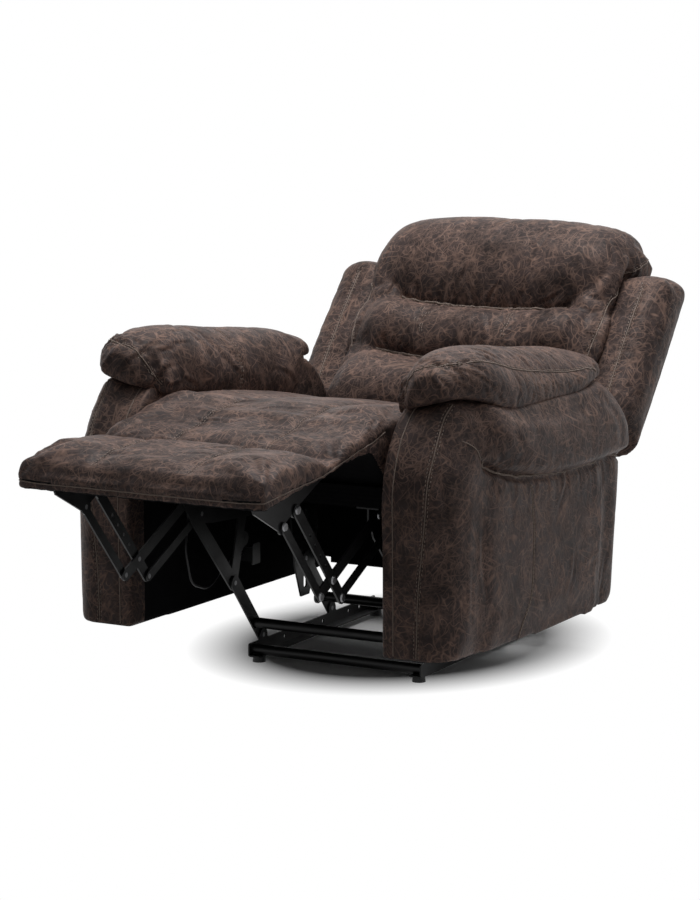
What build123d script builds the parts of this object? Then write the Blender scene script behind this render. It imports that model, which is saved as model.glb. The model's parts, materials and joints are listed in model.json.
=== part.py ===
"""A reclining armchair on a swing-link base, modelled open: the back leant back and the footrest out.

Millimetres. +X is the sitter's left, the chair faces -Y, +Z is up and the floor is Z = 0.
Depths are measured back from the arms' front faces, and heights up from the floor.
"""
from build123d import *
from math import atan2, cos, degrees, hypot, radians, sin
import os

# Whole chair
ARM_FRONT = -433.2          # Y of the arms' front faces, which puts the origin under the middle
SEAT_GAP = 565              # clear width between the arms
SIDES = (("left", 1), ("right", -1))

# Steelwork: flat bars in layers, counted outwards from the middle of the chair
BAR = 4                     # thickness of links and side plates
BAR_WIDTH = 24              # widths of the long links and of the control and guide links
SLIM_WIDTH = 19
RAIL_X = 200                # inner face of each base rail
RAIL_WALL = 3
SWING_X = 203.5             # inner faces of the layers
PLATE_X = 208
REAR_LINK_X = 212.5
FRONT_LINK_X = 217
PIN_R = 5                   # pivot pins
PIN_FIT = 0.08              # running clearance of a pivot
OPEN_FIT = 0.3              # clearance at the pivots that close a loop
SOFT_FIT = 0.3              # gap between padded pieces
LUG_R = 15
SPARE_R = 3.5               # spare holes along the front links, and their distances from the links' knee
SPARE_AT = (45, 75, 105, 135)                  # rounded metal about a pin
HEAD_R = 8.5
HEAD = 3
TUBE_R = 11
TUBE_WALL = 1.5
FLANGE = 24                 # folded edges of rails and brackets
FLANGE_WALL = 3

# Base
RAIL_FRONT, RAIL_REAR = 330, 890
RAIL_LOW, RAIL_HIGH = 12, 40
RAIL_HOLES = (480, 540, 600, 648, 766, 816)
RAIL_HOLE_R = 4.5
FOOT_R = 14
FOOT_INSET = 20

# Swing links that carry the chair on its base
SWING_FRONT = (391, 48)     # lower pivots, as (depth, height)
SWING_REAR = (691, 48)
SWING_LENGTH = 170
SWING_WIDTH = 30
SWING_LEAN = 40             # lean forward when reclined
SWING_TUBE = 40             # cross tube, along the link from its lower pivot

# Footrest linkage: a pantograph that turns the footrest about the knee line
KNEE_LINE = (-15, 541)
FOOT_PIVOT = (-209, 447)    # front link on the footrest bracket
LINK_KNEE = (-72, 290)      # rear link meets front link
LINK_TAIL = 54              # how far each long link runs past the knee

# Webbing straps under the seat and across the back
WEB = 1.5
STRAP = 60
BACK_STRAPS = (90, 170, 250, 360, 440, 520)

# Seat
SEAT_HALF = 268
SEAT_SLOPE = 0.115          # fall towards the back
SEAT_FRONT, SEAT_REAR = 45, 680
SKIRT_AT, SKIRT_LOW = 692, 150   # the dust cover's hanging rear part: its depth and its lower edge
FRAME_LOW = 412             # underside of the seat frame at its front
FRAME_DEEP = 40
FRAME_HALF = 262
FRAME_RAIL = 30             # widths of the side rails and of the front and rear rails
CROSS_RAIL = 40

# Footrest
FOOT_TILT = 8
FOOT_LENGTH = 402
FOOT_HALF = 267
BOARD = 15
BOARD_TOP = 7               # board's top above the knee line's own slope
PAD_SEAM = 8                # seam round the pad, over the band that hides the board
PAD_CREASE = 128            # crease between the pad's two parts, forward of the knee line

# Back
HINGE = (735, 430)
BACK_LEAN = 41
FRAME_BACK = -166           # rear and front of the back frame, along the back's normal
FRAME_FRONT = -126
CUSHION_REAR = FRAME_FRONT + WEB
PANEL_BACK = -183           # outer face of the rear panel
POST_OUT = 202
POST = 26                   # width of the two posts, and how far along the back they reach
POST_LOW, POST_HIGH = -30, 600
BACK_RAILS = (25, 300, 578)
WING_IN, WING_OUT = 285, 408
WING_FRONT = -74
OVERHANG = WING_FRONT + 8   # rear of the cushion edges that hang over the wings

# Arms
ARM_IN = SEAT_GAP / 2
ARM_FACE = 397              # width out to the edge of the front face
ARM_SEAM = 365              # seam where the outer side begins to round
ARM_BULGE = 438             # outer side at mid depth
ARM_PUFF = 449              # outer side of the puffed panel over the tuck
PUFF_MIDDLE = (470, 515)
ARM_LENGTH = 846
PLY = 15
WRAP = 12                   # cover's turn round the ply edges

# Release handle, in the sitter's right arm
CUP_AT = (250, 455)
CUP_LONG, CUP_HIGH = 130, 70
CUP_RIM, CUP_FLOOR = 438, 404
CUP_LIP = 2
CUP_WALL = 2.5
CUP_CORNER = 16
LEVER_PIN = 200             # depth of the lever's hinge
LEVER_X = 428
LEVER_PIN_R = 3
LEVER_LONG = 98
LEVER_HIGH = 52
CABLE_R = 2.5
CABLE_END = 366             # depth of the cable's end, on the latch bracket
PAWL_PIVOT = (336, 262)


def yz(point):
    """A (depth, height) point in the model's Y and Z."""
    return (ARM_FRONT + point[0], point[1])


def step(point, direction, distance):
    """The point at a distance from another, along a direction."""
    length = hypot(*direction)
    return (point[0] + direction[0] * distance / length, point[1] + direction[1] * distance / length)


def shifted(point, vector):
    return (point[0] + vector[0], point[1] + vector[1])


def on_foot(along, up):
    """A point on the footrest, by its distance forward of the knee line and its height over it."""
    c, s = cos(radians(FOOT_TILT)), sin(radians(FOOT_TILT))
    return (KNEE_LINE[0] - along * c - up * s, KNEE_LINE[1] - along * s + up * c)


def on_back(along, out):
    """A point on the back, by its distance up from the hinge and its distance forward."""
    c, s = cos(radians(BACK_LEAN)), sin(radians(BACK_LEAN))
    return (HINGE[0] + along * s - out * c, HINGE[1] + along * c + out * s)


def seat_top(depth):
    """Height of the seat frame's top."""
    return FRAME_LOW + FRAME_DEEP * hypot(1, SEAT_SLOPE) - SEAT_SLOPE * (depth - SEAT_FRONT)


def save(part, name):
    part.label = name
    export_step(part, f"parts/{name}.step")


def link_bar(sign, layer, ends, width, holes):
    """A flat bar with round ends, with a hole of a given radius at each listed pivot."""
    (y1, z1), (y2, z2) = yz(ends[0]), yz(ends[1])
    with BuildPart() as bar:
        with BuildSketch(Plane.YZ.offset(sign * layer)):
            with Locations(((y1 + y2) / 2, (z1 + z2) / 2)):
                turn = degrees(atan2(z2 - z1, y2 - y1))
                SlotCenterToCenter(hypot(y2 - y1, z2 - z1), width, rotation=turn)
            for point, radius in holes:
                with Locations(yz(point)):
                    Circle(radius, mode=Mode.SUBTRACT)
        extrude(amount=sign * BAR)
    return bar.part


def pins(places):
    """Round pins across the chair, each from an inner to an outer X, with an outer head."""
    with BuildPart() as group:
        for point, inner, outer, radius in places:
            for _, sign in SIDES:
                with BuildSketch(Plane.YZ.offset(sign * inner)):
                    with Locations(yz(point)):
                        Circle(radius)
                extrude(amount=sign * (outer - inner))
                with BuildSketch(Plane.YZ.offset(sign * outer)):
                    with Locations(yz(point)):
                        Circle(HEAD_R)
                extrude(amount=sign * HEAD, taper=25)
    return group.part


def cross_tube(point, half):
    """A round steel tube from side to side."""
    with BuildPart() as tube:
        with BuildSketch(Plane.YZ.offset(-half)):
            with Locations(yz(point)):
                Circle(TUBE_R)
                Circle(TUBE_R - TUBE_WALL, mode=Mode.SUBTRACT)
        extrude(amount=2 * half)
    return tube.part


def profile(x, corners, bulges, inset=0):
    """A closed side-view section at x: corners in order, joined by arcs of these heights or by lines."""
    points = [yz(corner) for corner in corners]
    with BuildSketch(Plane.YZ.offset(x)) as section:
        with BuildLine():
            for start, end, bulge in zip(points, points[1:] + points[:1], bulges):
                if bulge:
                    SagittaArc(start, end, bulge)
                else:
                    Line(start, end)
        make_face()
        if inset:
            offset(amount=-inset, mode=Mode.REPLACE)
    return section.sketch


def across(stations):
    """Mirror half of a cushion's stations, listed from the middle outwards, to the other side."""
    outer = [station for station in stations if station[0] > 0]
    return [(-x, *rest) for x, *rest in reversed(outer)] + stations


os.makedirs("parts", exist_ok=True)

# Pivots worked out from the driving ones
lean = radians(SWING_LEAN)
swing = (-SWING_LENGTH * sin(lean), SWING_LENGTH * cos(lean))
front_top, rear_top = shifted(SWING_FRONT, swing), shifted(SWING_REAR, swing)
front_vector = (FOOT_PIVOT[0] - LINK_KNEE[0], FOOT_PIVOT[1] - LINK_KNEE[1])
rear_vector = (FOOT_PIVOT[0] - KNEE_LINE[0], FOOT_PIVOT[1] - KNEE_LINE[1])
rear_pivot = shifted(KNEE_LINE, (-front_vector[0], -front_vector[1]))
link_end = step(LINK_KNEE, rear_vector, LINK_TAIL)
front_tail = step(LINK_KNEE, front_vector, -LINK_TAIL)
control_pivot = step(rear_pivot, front_vector, -LINK_TAIL)
guide_pivot = step(FOOT_PIVOT, rear_vector, LINK_TAIL)

# Base: two L-section rails, tied by tubes, on plastic feet
for side, sign in SIDES:
    with BuildPart() as base_rail:
        with BuildSketch(Plane.YZ.offset(sign * RAIL_X)):
            with Locations(yz(((RAIL_FRONT + RAIL_REAR) / 2, (RAIL_LOW + RAIL_HIGH) / 2))):
                RectangleRounded(RAIL_REAR - RAIL_FRONT, RAIL_HIGH - RAIL_LOW, 5)
            for pivot in (SWING_FRONT, SWING_REAR):
                with Locations(yz(pivot)):
                    Circle(LUG_R)
                with Locations(yz((pivot[0], (pivot[1] + RAIL_LOW) / 2))):
                    Trapezoid(60, pivot[1] - RAIL_LOW, 65)
                with Locations(yz(pivot)):
                    Circle(PIN_R, mode=Mode.SUBTRACT)
            for depth in RAIL_HOLES:
                with Locations(yz((depth, (RAIL_LOW + RAIL_WALL + RAIL_HIGH) / 2))):
                    Circle(RAIL_HOLE_R, mode=Mode.SUBTRACT)
        extrude(amount=sign * RAIL_WALL)
        with BuildSketch(Plane.XY.offset(RAIL_LOW)):
            with Locations((sign * (RAIL_X - FLANGE / 2), ARM_FRONT + (RAIL_FRONT + RAIL_REAR) / 2)):
                Rectangle(FLANGE, RAIL_REAR - RAIL_FRONT)
        extrude(amount=RAIL_WALL)
    save(base_rail.part, f"base_rail_{side}")

tube_height = RAIL_LOW + RAIL_WALL + TUBE_R
save(cross_tube((RAIL_FRONT + FOOT_INSET, tube_height), RAIL_X), "front_base_tube")
save(cross_tube((RAIL_REAR - FOOT_INSET, tube_height), RAIL_X), "rear_base_tube")

with BuildPart() as base_feet:
    for depth in (RAIL_FRONT + FOOT_INSET, RAIL_REAR - FOOT_INSET):
        for _, sign in SIDES:
            with BuildSketch():
                with Locations((sign * (RAIL_X - FLANGE / 2), ARM_FRONT + depth)):
                    Circle(FOOT_R)
            extrude(amount=RAIL_LOW, taper=6)
save(base_feet.part, "base_feet")

save(pins([(pivot, RAIL_X, SWING_X + BAR + OPEN_FIT, PIN_R) for pivot in (SWING_FRONT, SWING_REAR)]),
     "base_pivot_bolts")

# Swing links, in pairs joined by a cross tube
for name, low, high in (("front", SWING_FRONT, front_top), ("rear", SWING_REAR, rear_top)):
    for side, sign in SIDES:
        holes = [(low, PIN_R + PIN_FIT), (high, PIN_R + (PIN_FIT if name == "front" else OPEN_FIT))]
        save(link_bar(sign, SWING_X, (low, high), SWING_WIDTH, holes), f"{name}_swing_link_{side}")
    save(cross_tube(step(low, swing, SWING_TUBE), SWING_X), f"{name}_swing_tube")

# Side plates: a bar under the seat, a braced front leg, a slotted rear ear and the back's hinge arm
for side, sign in SIDES:
    with BuildPart() as side_plate:
        with BuildSketch(Plane.YZ.offset(sign * PLATE_X)):
            with BuildLine():
                top_front, top_rear = (88, seat_top(88)), (705, seat_top(705))
                drop = FRAME_DEEP + FLANGE_WALL
                Polyline(yz((top_front[0], top_front[1] - drop)), yz((top_rear[0], top_rear[1] - drop)),
                         yz((top_rear[0], top_rear[1] - drop - 48)), yz((200, 318)), yz((120, 330)),
                         yz((88, 372)), close=True)
            make_face()
            for start, end, width in ((front_top, (122, 350), 32), (front_top, (330, 350), 30),
                                      ((704, 318), HINGE, 34)):
                (y1, z1), (y2, z2) = yz(start), yz(end)
                with Locations(((y1 + y2) / 2, (z1 + z2) / 2)):
                    SlotCenterToCenter(hypot(y2 - y1, z2 - z1), width,
                                       rotation=degrees(atan2(z2 - z1, y2 - y1)))
            with BuildLine():
                Polyline(yz((515, 330)), yz((650, 320)), yz((628, 165)), yz((602, 96)), yz((566, 96)),
                         yz((540, 165)), close=True)
            make_face()
            for point, length, turn in (((582, 250), 70, 80), ((584, 128), 30, 90), ((430, 328), 60, -6.6)):
                with Locations(yz(point)):
                    SlotOverall(length, 14, rotation=turn, mode=Mode.SUBTRACT)
            for point, radius in ((front_top, PIN_R), (rear_top, PIN_R), (rear_pivot, PIN_R),
                                  (control_pivot, PIN_R), (HINGE, PIN_R)):
                with Locations(yz(point)):
                    Circle(radius, mode=Mode.SUBTRACT)
        extrude(amount=sign * BAR)
        seat_slope = Plane(origin=(0, ARM_FRONT + SEAT_FRONT, FRAME_LOW), x_dir=(1, 0, 0),
                           z_dir=(0, SEAT_SLOPE, 1))
        with BuildSketch(seat_slope):
            with Locations((sign * (PLATE_X + FLANGE), (SEAT_REAR - SEAT_FRONT) / 2)):
                Rectangle(2 * FLANGE, SEAT_REAR - SEAT_FRONT)
        extrude(amount=-FLANGE_WALL)
    save(side_plate.part, f"side_plate_{side}")

save(cross_tube((660, 296), PLATE_X), "chassis_tube")
save(pins([(front_top, SWING_X, PLATE_X + BAR, PIN_R), (rear_top, SWING_X, PLATE_X + BAR, PIN_R),
           (rear_pivot, PLATE_X, REAR_LINK_X + BAR + OPEN_FIT, PIN_R),
           (control_pivot, PLATE_X, REAR_LINK_X + BAR + OPEN_FIT, PIN_R),
           (HINGE, POST_OUT, PLATE_X + BAR, PIN_R)]), "chassis_pivot_pins")

# Footrest links
spare_holes = [(step(LINK_KNEE, front_vector, distance), SPARE_R) for distance in SPARE_AT]
for side, sign in SIDES:
    jointed, open_hole = PIN_R + PIN_FIT, PIN_R + OPEN_FIT
    save(link_bar(sign, REAR_LINK_X, (rear_pivot, link_end), BAR_WIDTH,
                  [(rear_pivot, jointed), (LINK_KNEE, PIN_R), (link_end, PIN_R)]), f"rear_link_{side}")
    save(link_bar(sign, REAR_LINK_X, (control_pivot, front_tail), SLIM_WIDTH,
                  [(control_pivot, jointed), (front_tail, PIN_R)]), f"control_link_{side}")
    save(link_bar(sign, FRONT_LINK_X, (front_tail, FOOT_PIVOT), BAR_WIDTH,
                  [(front_tail, open_hole), (LINK_KNEE, jointed), (FOOT_PIVOT, open_hole)] + spare_holes),
         f"front_link_{side}")
    save(link_bar(sign, FRONT_LINK_X, (link_end, guide_pivot), SLIM_WIDTH,
                  [(link_end, jointed), (guide_pivot, open_hole)]), f"guide_link_{side}")

link_out = FRONT_LINK_X + BAR + OPEN_FIT
save(pins([(LINK_KNEE, REAR_LINK_X, link_out, PIN_R), (link_end, REAR_LINK_X, link_out, PIN_R)]),
     "rear_link_rivets")
save(pins([(front_tail, REAR_LINK_X, link_out, PIN_R)]), "control_link_rivets")
save(pins([(FOOT_PIVOT, REAR_LINK_X, link_out, PIN_R), (guide_pivot, REAR_LINK_X, link_out, PIN_R)]),
     "footrest_rivets")

# Footrest: board on two angle brackets, with a two-part pad
foot_top = Plane(origin=(0, *yz(on_foot(0, BOARD_TOP))), x_dir=(1, 0, 0),
                 z_dir=(0, -sin(radians(FOOT_TILT)), cos(radians(FOOT_TILT))))
with BuildPart() as footrest_board:
    with BuildSketch(foot_top):
        with Locations((0, -(40 + FOOT_LENGTH - 10) / 2)):
            RectangleRounded(2 * FOOT_HALF - 16, FOOT_LENGTH - 50, 18)
    extrude(amount=-BOARD)
save(footrest_board.part, "footrest_board")

for side, sign in SIDES:
    with BuildPart() as footrest_bracket:
        under = BOARD_TOP - BOARD
        with BuildSketch(Plane.YZ.offset(sign * REAR_LINK_X)):
            with BuildLine():
                Polyline(yz(on_foot(60, under)), yz(on_foot(360, under)), yz(on_foot(352, under - 22)),
                         yz(step(guide_pivot, rear_vector, 15)), yz(step(FOOT_PIVOT, rear_vector, -15)),
                         yz(on_foot(70, under - 22)), close=True)
            make_face()
            for point in (FOOT_PIVOT, guide_pivot):
                with Locations(yz(point)):
                    Circle(LUG_R)
            for point in (FOOT_PIVOT, guide_pivot):
                with Locations(yz(point)):
                    Circle(PIN_R, mode=Mode.SUBTRACT)
        extrude(amount=sign * BAR)
        with BuildSketch(foot_top.offset(-BOARD)):
            with Locations((sign * (REAR_LINK_X - FLANGE / 2), -210)):
                Rectangle(FLANGE, 300)
        extrude(amount=-FLANGE_WALL)
    save(footrest_bracket.part, f"footrest_bracket_{side}")


def footrest_section(x, drop, inset):
    low, front = BOARD_TOP - BOARD, FOOT_LENGTH - inset
    corners = [on_foot(front, low), on_foot(front, PAD_SEAM), on_foot(front - 30, 46 - drop),
               on_foot(PAD_CREASE, 10 - drop / 3), on_foot(14, 29 - drop / 2), on_foot(12, BOARD_TOP),
               on_foot(60, BOARD_TOP), on_foot(60, low)]
    return profile(x, corners, (0, 16, 15, 5, 0, 0, 0, 0))


foot_stations = across([(0, 0, 0), (100, 3, 0), (172, 0, 0), (240, 2, 1), (FOOT_HALF, 18, 6)])
with BuildPart() as footrest_pad:
    loft(sections=[footrest_section(*station) for station in foot_stations])
    with BuildSketch(foot_top):
        with Locations((0, -(40 + FOOT_LENGTH - 10) / 2)):
            RectangleRounded(2 * FOOT_HALF - 16 + 2 * SOFT_FIT, FOOT_LENGTH - 50 + 2 * SOFT_FIT, 18)
    extrude(amount=-2 * BOARD, mode=Mode.SUBTRACT)
save(footrest_pad.part, "footrest_pad")

# Seat: sloping wooden frame on the side plates, webbing, dust cover and cushion
frame_length = SEAT_REAR - SEAT_FRONT
with BuildPart() as seat_side_rails:
    with BuildSketch(seat_slope):
        with Locations((0, frame_length / 2)):
            with GridLocations(2 * FRAME_HALF - FRAME_RAIL, 1, 2, 1):
                Rectangle(FRAME_RAIL, frame_length)
    extrude(amount=FRAME_DEEP)
save(seat_side_rails.part, "seat_side_rails")

with BuildPart() as seat_cross_rails:
    with BuildSketch(seat_slope):
        with Locations((0, frame_length / 2)):
            with GridLocations(1, frame_length - CROSS_RAIL, 1, 2):
                Rectangle(2 * (FRAME_HALF - FRAME_RAIL), CROSS_RAIL)
    extrude(amount=FRAME_DEEP)
save(seat_cross_rails.part, "seat_cross_rails")

with BuildPart() as seat_webbing:
    with BuildSketch(seat_slope.offset(FRAME_DEEP - 12)):
        with Locations((0, frame_length / 2)):
            with GridLocations(100, 1, 4, 1):
                Rectangle(STRAP, frame_length - 2 * CROSS_RAIL)
    extrude(amount=WEB)
save(seat_webbing.part, "seat_webbing")

with BuildPart() as dust_cover:
    cover_wide = 2 * PLATE_X - 8
    with BuildSketch(seat_slope.offset(-WEB)):
        with Locations((0, (SKIRT_AT - SEAT_FRONT) / 2)):
            Rectangle(cover_wide, SKIRT_AT - SEAT_FRONT)
    extrude(amount=WEB)
    skirt_top = seat_top(SKIRT_AT) - FRAME_DEEP
    with BuildSketch(Plane.XZ.offset(-(ARM_FRONT + SKIRT_AT))):
        with Locations((0, (SKIRT_LOW + skirt_top) / 2)):
            Rectangle(cover_wide, skirt_top - SKIRT_LOW)
    extrude(amount=WEB)
save(dust_cover.part, "dust_cover")


def seat_section(x, drop, inset):
    corners = [(72 + inset, seat_top(72 + inset)), (-9 + inset, 537 - drop / 2), (60 + inset, 590 - drop),
               (688 - inset, 500 - drop), (SEAT_REAR - inset, seat_top(SEAT_REAR - inset))]
    return profile(x, corners, (0, 22, 14, 5, 0))


seat_stations = across([(0, 0, 0), (100, 4, 0), (175, 0, 0), (240, 1, 1), (SEAT_HALF, 14, 8)])
with BuildPart() as seat_cushion:
    loft(sections=[seat_section(*station) for station in seat_stations])
save(seat_cushion.part, "seat_cushion")

# Route of the release cable, from the handle's cup down through the arm and back to the latch
cable_route = [(-CUP_FLOOR + CABLE_R, 205, 440), (-262, 195, 350), (-250, 160, 262), (-248, 178, 190),
               (-244, 242, 168), (-236, 306, 222), (-236, CABLE_END, 222)]
cable_points = [Vector(x, ARM_FRONT + depth, height) for x, depth, height in cable_route]
cable_radii = [60, 50, 38, 45, 40]
cable_run = (cable_points[1] - cable_points[0]).length
cable_bore = Plane(origin=cable_points[0], z_dir=cable_points[1] - cable_points[0])

# Arms: ply panel, padded cover round it and a pillow on top
arm_outline = [(5, 129), (0, 430), (95, 606), (720, 594), (846, 412), (842, 359), (813, 130), (790, 113)]
arm_bulges = (0, 26, 0, 34, 0, 0, 0, 0)
arm_stations = ((ARM_SEAM, 1, 1), (ARM_FACE, 0.985, 0.985), (417, 0.94, 0.95), (430, 0.84, 0.88),
                (ARM_BULGE, 0.62, 0.76))
puff_outline = [(125, 565), (155, 602), (715, 592), (838, 436), (421, 419), (192, 497)]
puff_bulges = (4, 0, 32, 8, 16, 3)
puff_stations = ((390, 0.985), (420, 0.97), (434, 0.93), (444, 0.84), (ARM_PUFF, 0.66))


arm_pad_stations = ((66, 300, 92, 50), (130, 270, 156, 84), (330, 266, 172, 100), (560, 268, 168, 90),
                    (700, 276, 148, 70), (784, 300, 96, 32))
PAD_SLOPE = (arm_outline[3][1] - arm_outline[2][1]) / (arm_outline[3][0] - arm_outline[2][0])


def arm_section(x, length, height):
    """The arm's outline, drawn in towards its middle and its lower edge."""
    middle, low = ARM_LENGTH / 2, arm_outline[-1][1]
    corners = [(middle + (depth - middle) * length, low + (z - low) * height) for depth, z in arm_outline]
    return profile(x, corners, [bulge * height for bulge in arm_bulges])


def puff_section(x, size):
    """The puffed panel's outline, drawn in towards its middle."""
    corners = [(PUFF_MIDDLE[0] + (depth - PUFF_MIDDLE[0]) * size, PUFF_MIDDLE[1] + (z - PUFF_MIDDLE[1]) * size)
               for depth, z in puff_outline]
    return profile(x, corners, [bulge * size for bulge in puff_bulges])


for side, sign in SIDES:
    with BuildPart() as arm_frame:
        extrude(profile(sign * ARM_IN, arm_outline, arm_bulges, WRAP), amount=PLY, dir=(sign, 0, 0))
        if sign < 0:
            with BuildSketch(cable_bore):
                Circle(2 * CABLE_R)
            extrude(amount=cable_run, mode=Mode.SUBTRACT)
    save(arm_frame.part, f"arm_frame_{side}")

    with BuildPart() as arm_cover:
        extrude(profile(sign * ARM_IN, arm_outline, arm_bulges), amount=ARM_SEAM - ARM_IN, dir=(sign, 0, 0))
        loft(sections=[arm_section(sign * x, *shrink) for x, *shrink in arm_stations])
        loft(sections=[puff_section(sign * x, size) for x, size in puff_stations])
        extrude(profile(sign * ARM_IN, arm_outline, arm_bulges, WRAP), amount=PLY, dir=(sign, 0, 0),
                mode=Mode.SUBTRACT)
        if sign < 0:
            with BuildSketch(Plane.YZ.offset(-CUP_FLOOR)):
                with Locations(yz(CUP_AT)):
                    RectangleRounded(CUP_LONG + 2 * SOFT_FIT, CUP_HIGH + 2 * SOFT_FIT, CUP_CORNER)
            extrude(amount=-80, mode=Mode.SUBTRACT)
            with BuildSketch(Plane.YZ.offset(-CUP_RIM)):
                with Locations(yz(CUP_AT)):
                    rim = CUP_CORNER + 2 * SOFT_FIT
                    RectangleRounded(CUP_LONG + rim, CUP_HIGH + rim, 1.5 * CUP_CORNER)
            extrude(amount=-80, mode=Mode.SUBTRACT)
            with BuildSketch(cable_bore):
                Circle(2 * CABLE_R)
            extrude(amount=cable_run, mode=Mode.SUBTRACT)
    save(arm_cover.part, f"arm_cover_{side}")

    with BuildPart() as arm_pad:
        sections = []
        for depth, inner, wide, crown in arm_pad_stations:
            low = arm_outline[2][1] + SOFT_FIT + PAD_SLOPE * (depth - arm_outline[2][0])
            high = low + 0.78 * crown
            bottom_in, bottom_out = (sign * (inner + 8), low), (sign * (inner + wide - 8), low)
            top_in, top_out = (sign * (inner + 20), high), (sign * (inner + wide - 24), high)
            station = Plane(origin=(0, ARM_FRONT + depth, 0), x_dir=(1, 0, 0), z_dir=(0, -1, 0))
            with BuildSketch(station) as pad_section:
                with BuildLine():
                    Line(bottom_out, bottom_in)
                    SagittaArc(bottom_in, top_in, sign * 0.12 * crown)
                    SagittaArc(top_in, top_out, sign * 0.22 * crown)
                    SagittaArc(top_out, bottom_out, sign * 0.16 * crown)
                make_face()
            sections.append(pad_section.sketch)
        loft(sections=sections)
    save(arm_pad.part, f"arm_pad_{side}")

    with BuildPart() as arm_bracket:
        for depth in (345, 668):
            low = seat_top(depth) - FRAME_DEEP - 44
            with BuildSketch(Plane.XZ.offset(-(ARM_FRONT + depth - 20))):
                with BuildLine():
                    inner, outer_x = PLATE_X + BAR, ARM_IN
                    Polyline((sign * inner, low), (sign * (inner + 3), low), (sign * (inner + 3), low + 27),
                             (sign * (outer_x - 3), low + 27), (sign * (outer_x - 3), low - 30),
                             (sign * outer_x, low - 30), (sign * outer_x, low + 30),
                             (sign * inner, low + 30), close=True)
                make_face()
            extrude(amount=-40)
    save(arm_bracket.part, f"arm_bracket_{side}")

# Release handle: cup let into the right arm, lever, cable and latch pawl
with BuildPart() as latch_cup:
    with BuildSketch(Plane.YZ.offset(-CUP_FLOOR)):
        with Locations(yz(CUP_AT)):
            RectangleRounded(CUP_LONG, CUP_HIGH, CUP_CORNER)
    extrude(amount=-(CUP_RIM - CUP_FLOOR))
    with BuildSketch(Plane.YZ.offset(-CUP_RIM)):
        with Locations(yz(CUP_AT)):
            RectangleRounded(CUP_LONG + CUP_CORNER, CUP_HIGH + CUP_CORNER, 1.5 * CUP_CORNER)
    extrude(amount=-CUP_LIP)
    with BuildSketch(Plane.YZ.offset(-CUP_FLOOR - CUP_WALL)):
        with Locations(yz(CUP_AT)):
            RectangleRounded(CUP_LONG - 2 * CUP_WALL, CUP_HIGH - 2 * CUP_WALL, CUP_CORNER - CUP_WALL)
    extrude(amount=-(CUP_RIM - CUP_FLOOR + CUP_LIP), mode=Mode.SUBTRACT)
    with BuildSketch(Plane.XY.offset(CUP_AT[1] - CUP_HIGH / 2)):
        with Locations((-LEVER_X, ARM_FRONT + LEVER_PIN)):
            Circle(LEVER_PIN_R)
    extrude(amount=CUP_HIGH)
save(latch_cup.part, "latch_cup")

with BuildPart() as release_handle:
    with BuildSketch(Plane.XY.offset(CUP_AT[1] - LEVER_HIGH / 2)):
        lever = Vector(-LEVER_X, ARM_FRONT + LEVER_PIN)
        with BuildLine():
            Polyline(lever + (-4, 0), lever + (-4, 70), lever + (-7, LEVER_LONG), lever + (-1, LEVER_LONG),
                     lever + (4, 70), lever + (4, 0), close=True)
        make_face()
        with Locations(lever):
            Circle(2 * LEVER_PIN_R)
            Circle(LEVER_PIN_R + PIN_FIT, mode=Mode.SUBTRACT)
    extrude(amount=LEVER_HIGH)
save(release_handle.part, "release_handle")

with BuildPart() as release_cable:
    with BuildLine():
        route = FilletPolyline(*cable_points, radius=cable_radii)
    with BuildSketch(Plane(origin=route @ 0, z_dir=route % 0)):
        Circle(CABLE_R)
    sweep()
save(release_cable.part, "release_cable")

with BuildPart() as latch_bracket:
    cable_height = cable_route[-1][2]
    with BuildSketch(Plane.YZ.offset(-PLATE_X - BAR)):
        with Locations(yz((CABLE_END + 16, cable_height))):
            RectangleRounded(32, 44, 4)
    extrude(amount=-FLANGE_WALL)
    with BuildSketch(Plane.XZ.offset(-(ARM_FRONT + CABLE_END))):
        with Locations((-PLATE_X - BAR - 17, cable_height)):
            RectangleRounded(34, 30, 4)
    extrude(amount=-FLANGE_WALL)
    with BuildSketch(Plane.YZ.offset(-PLATE_X - BAR)):
        with Locations(yz(PAWL_PIVOT)):
            Circle(PIN_R)
    extrude(amount=-(BAR + 1))
    with BuildSketch(Plane.YZ.offset(-PLATE_X - 2 * BAR - 1)):
        with Locations(yz(PAWL_PIVOT)):
            Circle(HEAD_R)
    extrude(amount=-HEAD)
save(latch_bracket.part, "latch_bracket")

with BuildPart() as latch_pawl:
    with BuildSketch(Plane.YZ.offset(-REAR_LINK_X)):
        with BuildLine():
            Polyline(yz((336, 278)), yz((352, 262)), yz((336, 248)), yz((290, 214)), yz((288, 196)),
                     yz((268, 192)), yz((272, 226)), close=True)
        make_face()
        with Locations(yz(PAWL_PIVOT)):
            Circle(LUG_R)
            Circle(PIN_R + PIN_FIT, mode=Mode.SUBTRACT)
    extrude(amount=-BAR)
save(latch_pawl.part, "latch_pawl")

# Back: hinge brackets, wooden posts and rails, webbing, rear panel, wings and three stacked cushions
back_normal = (0, -cos(radians(BACK_LEAN)), sin(radians(BACK_LEAN)))
back_plane = Plane(origin=(0, *yz(HINGE)), x_dir=(1, 0, 0), z_dir=back_normal)
for side, sign in SIDES:
    with BuildPart() as back_bracket:
        with BuildSketch(Plane.YZ.offset(sign * POST_OUT)):
            with BuildLine():
                Polyline(yz(on_back(-16, 6)), yz(on_back(14, 6)), yz(on_back(24, FRAME_FRONT)),
                         yz(on_back(190, FRAME_FRONT - 6)), yz(on_back(190, FRAME_BACK + 6)),
                         yz(on_back(-24, FRAME_BACK + 6)), close=True)
            make_face()
            with Locations(yz(HINGE)):
                Circle(LUG_R + 2)
                Circle(PIN_R + PIN_FIT, mode=Mode.SUBTRACT)
        extrude(amount=sign * BAR)
    save(back_bracket.part, f"back_bracket_{side}")

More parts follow.
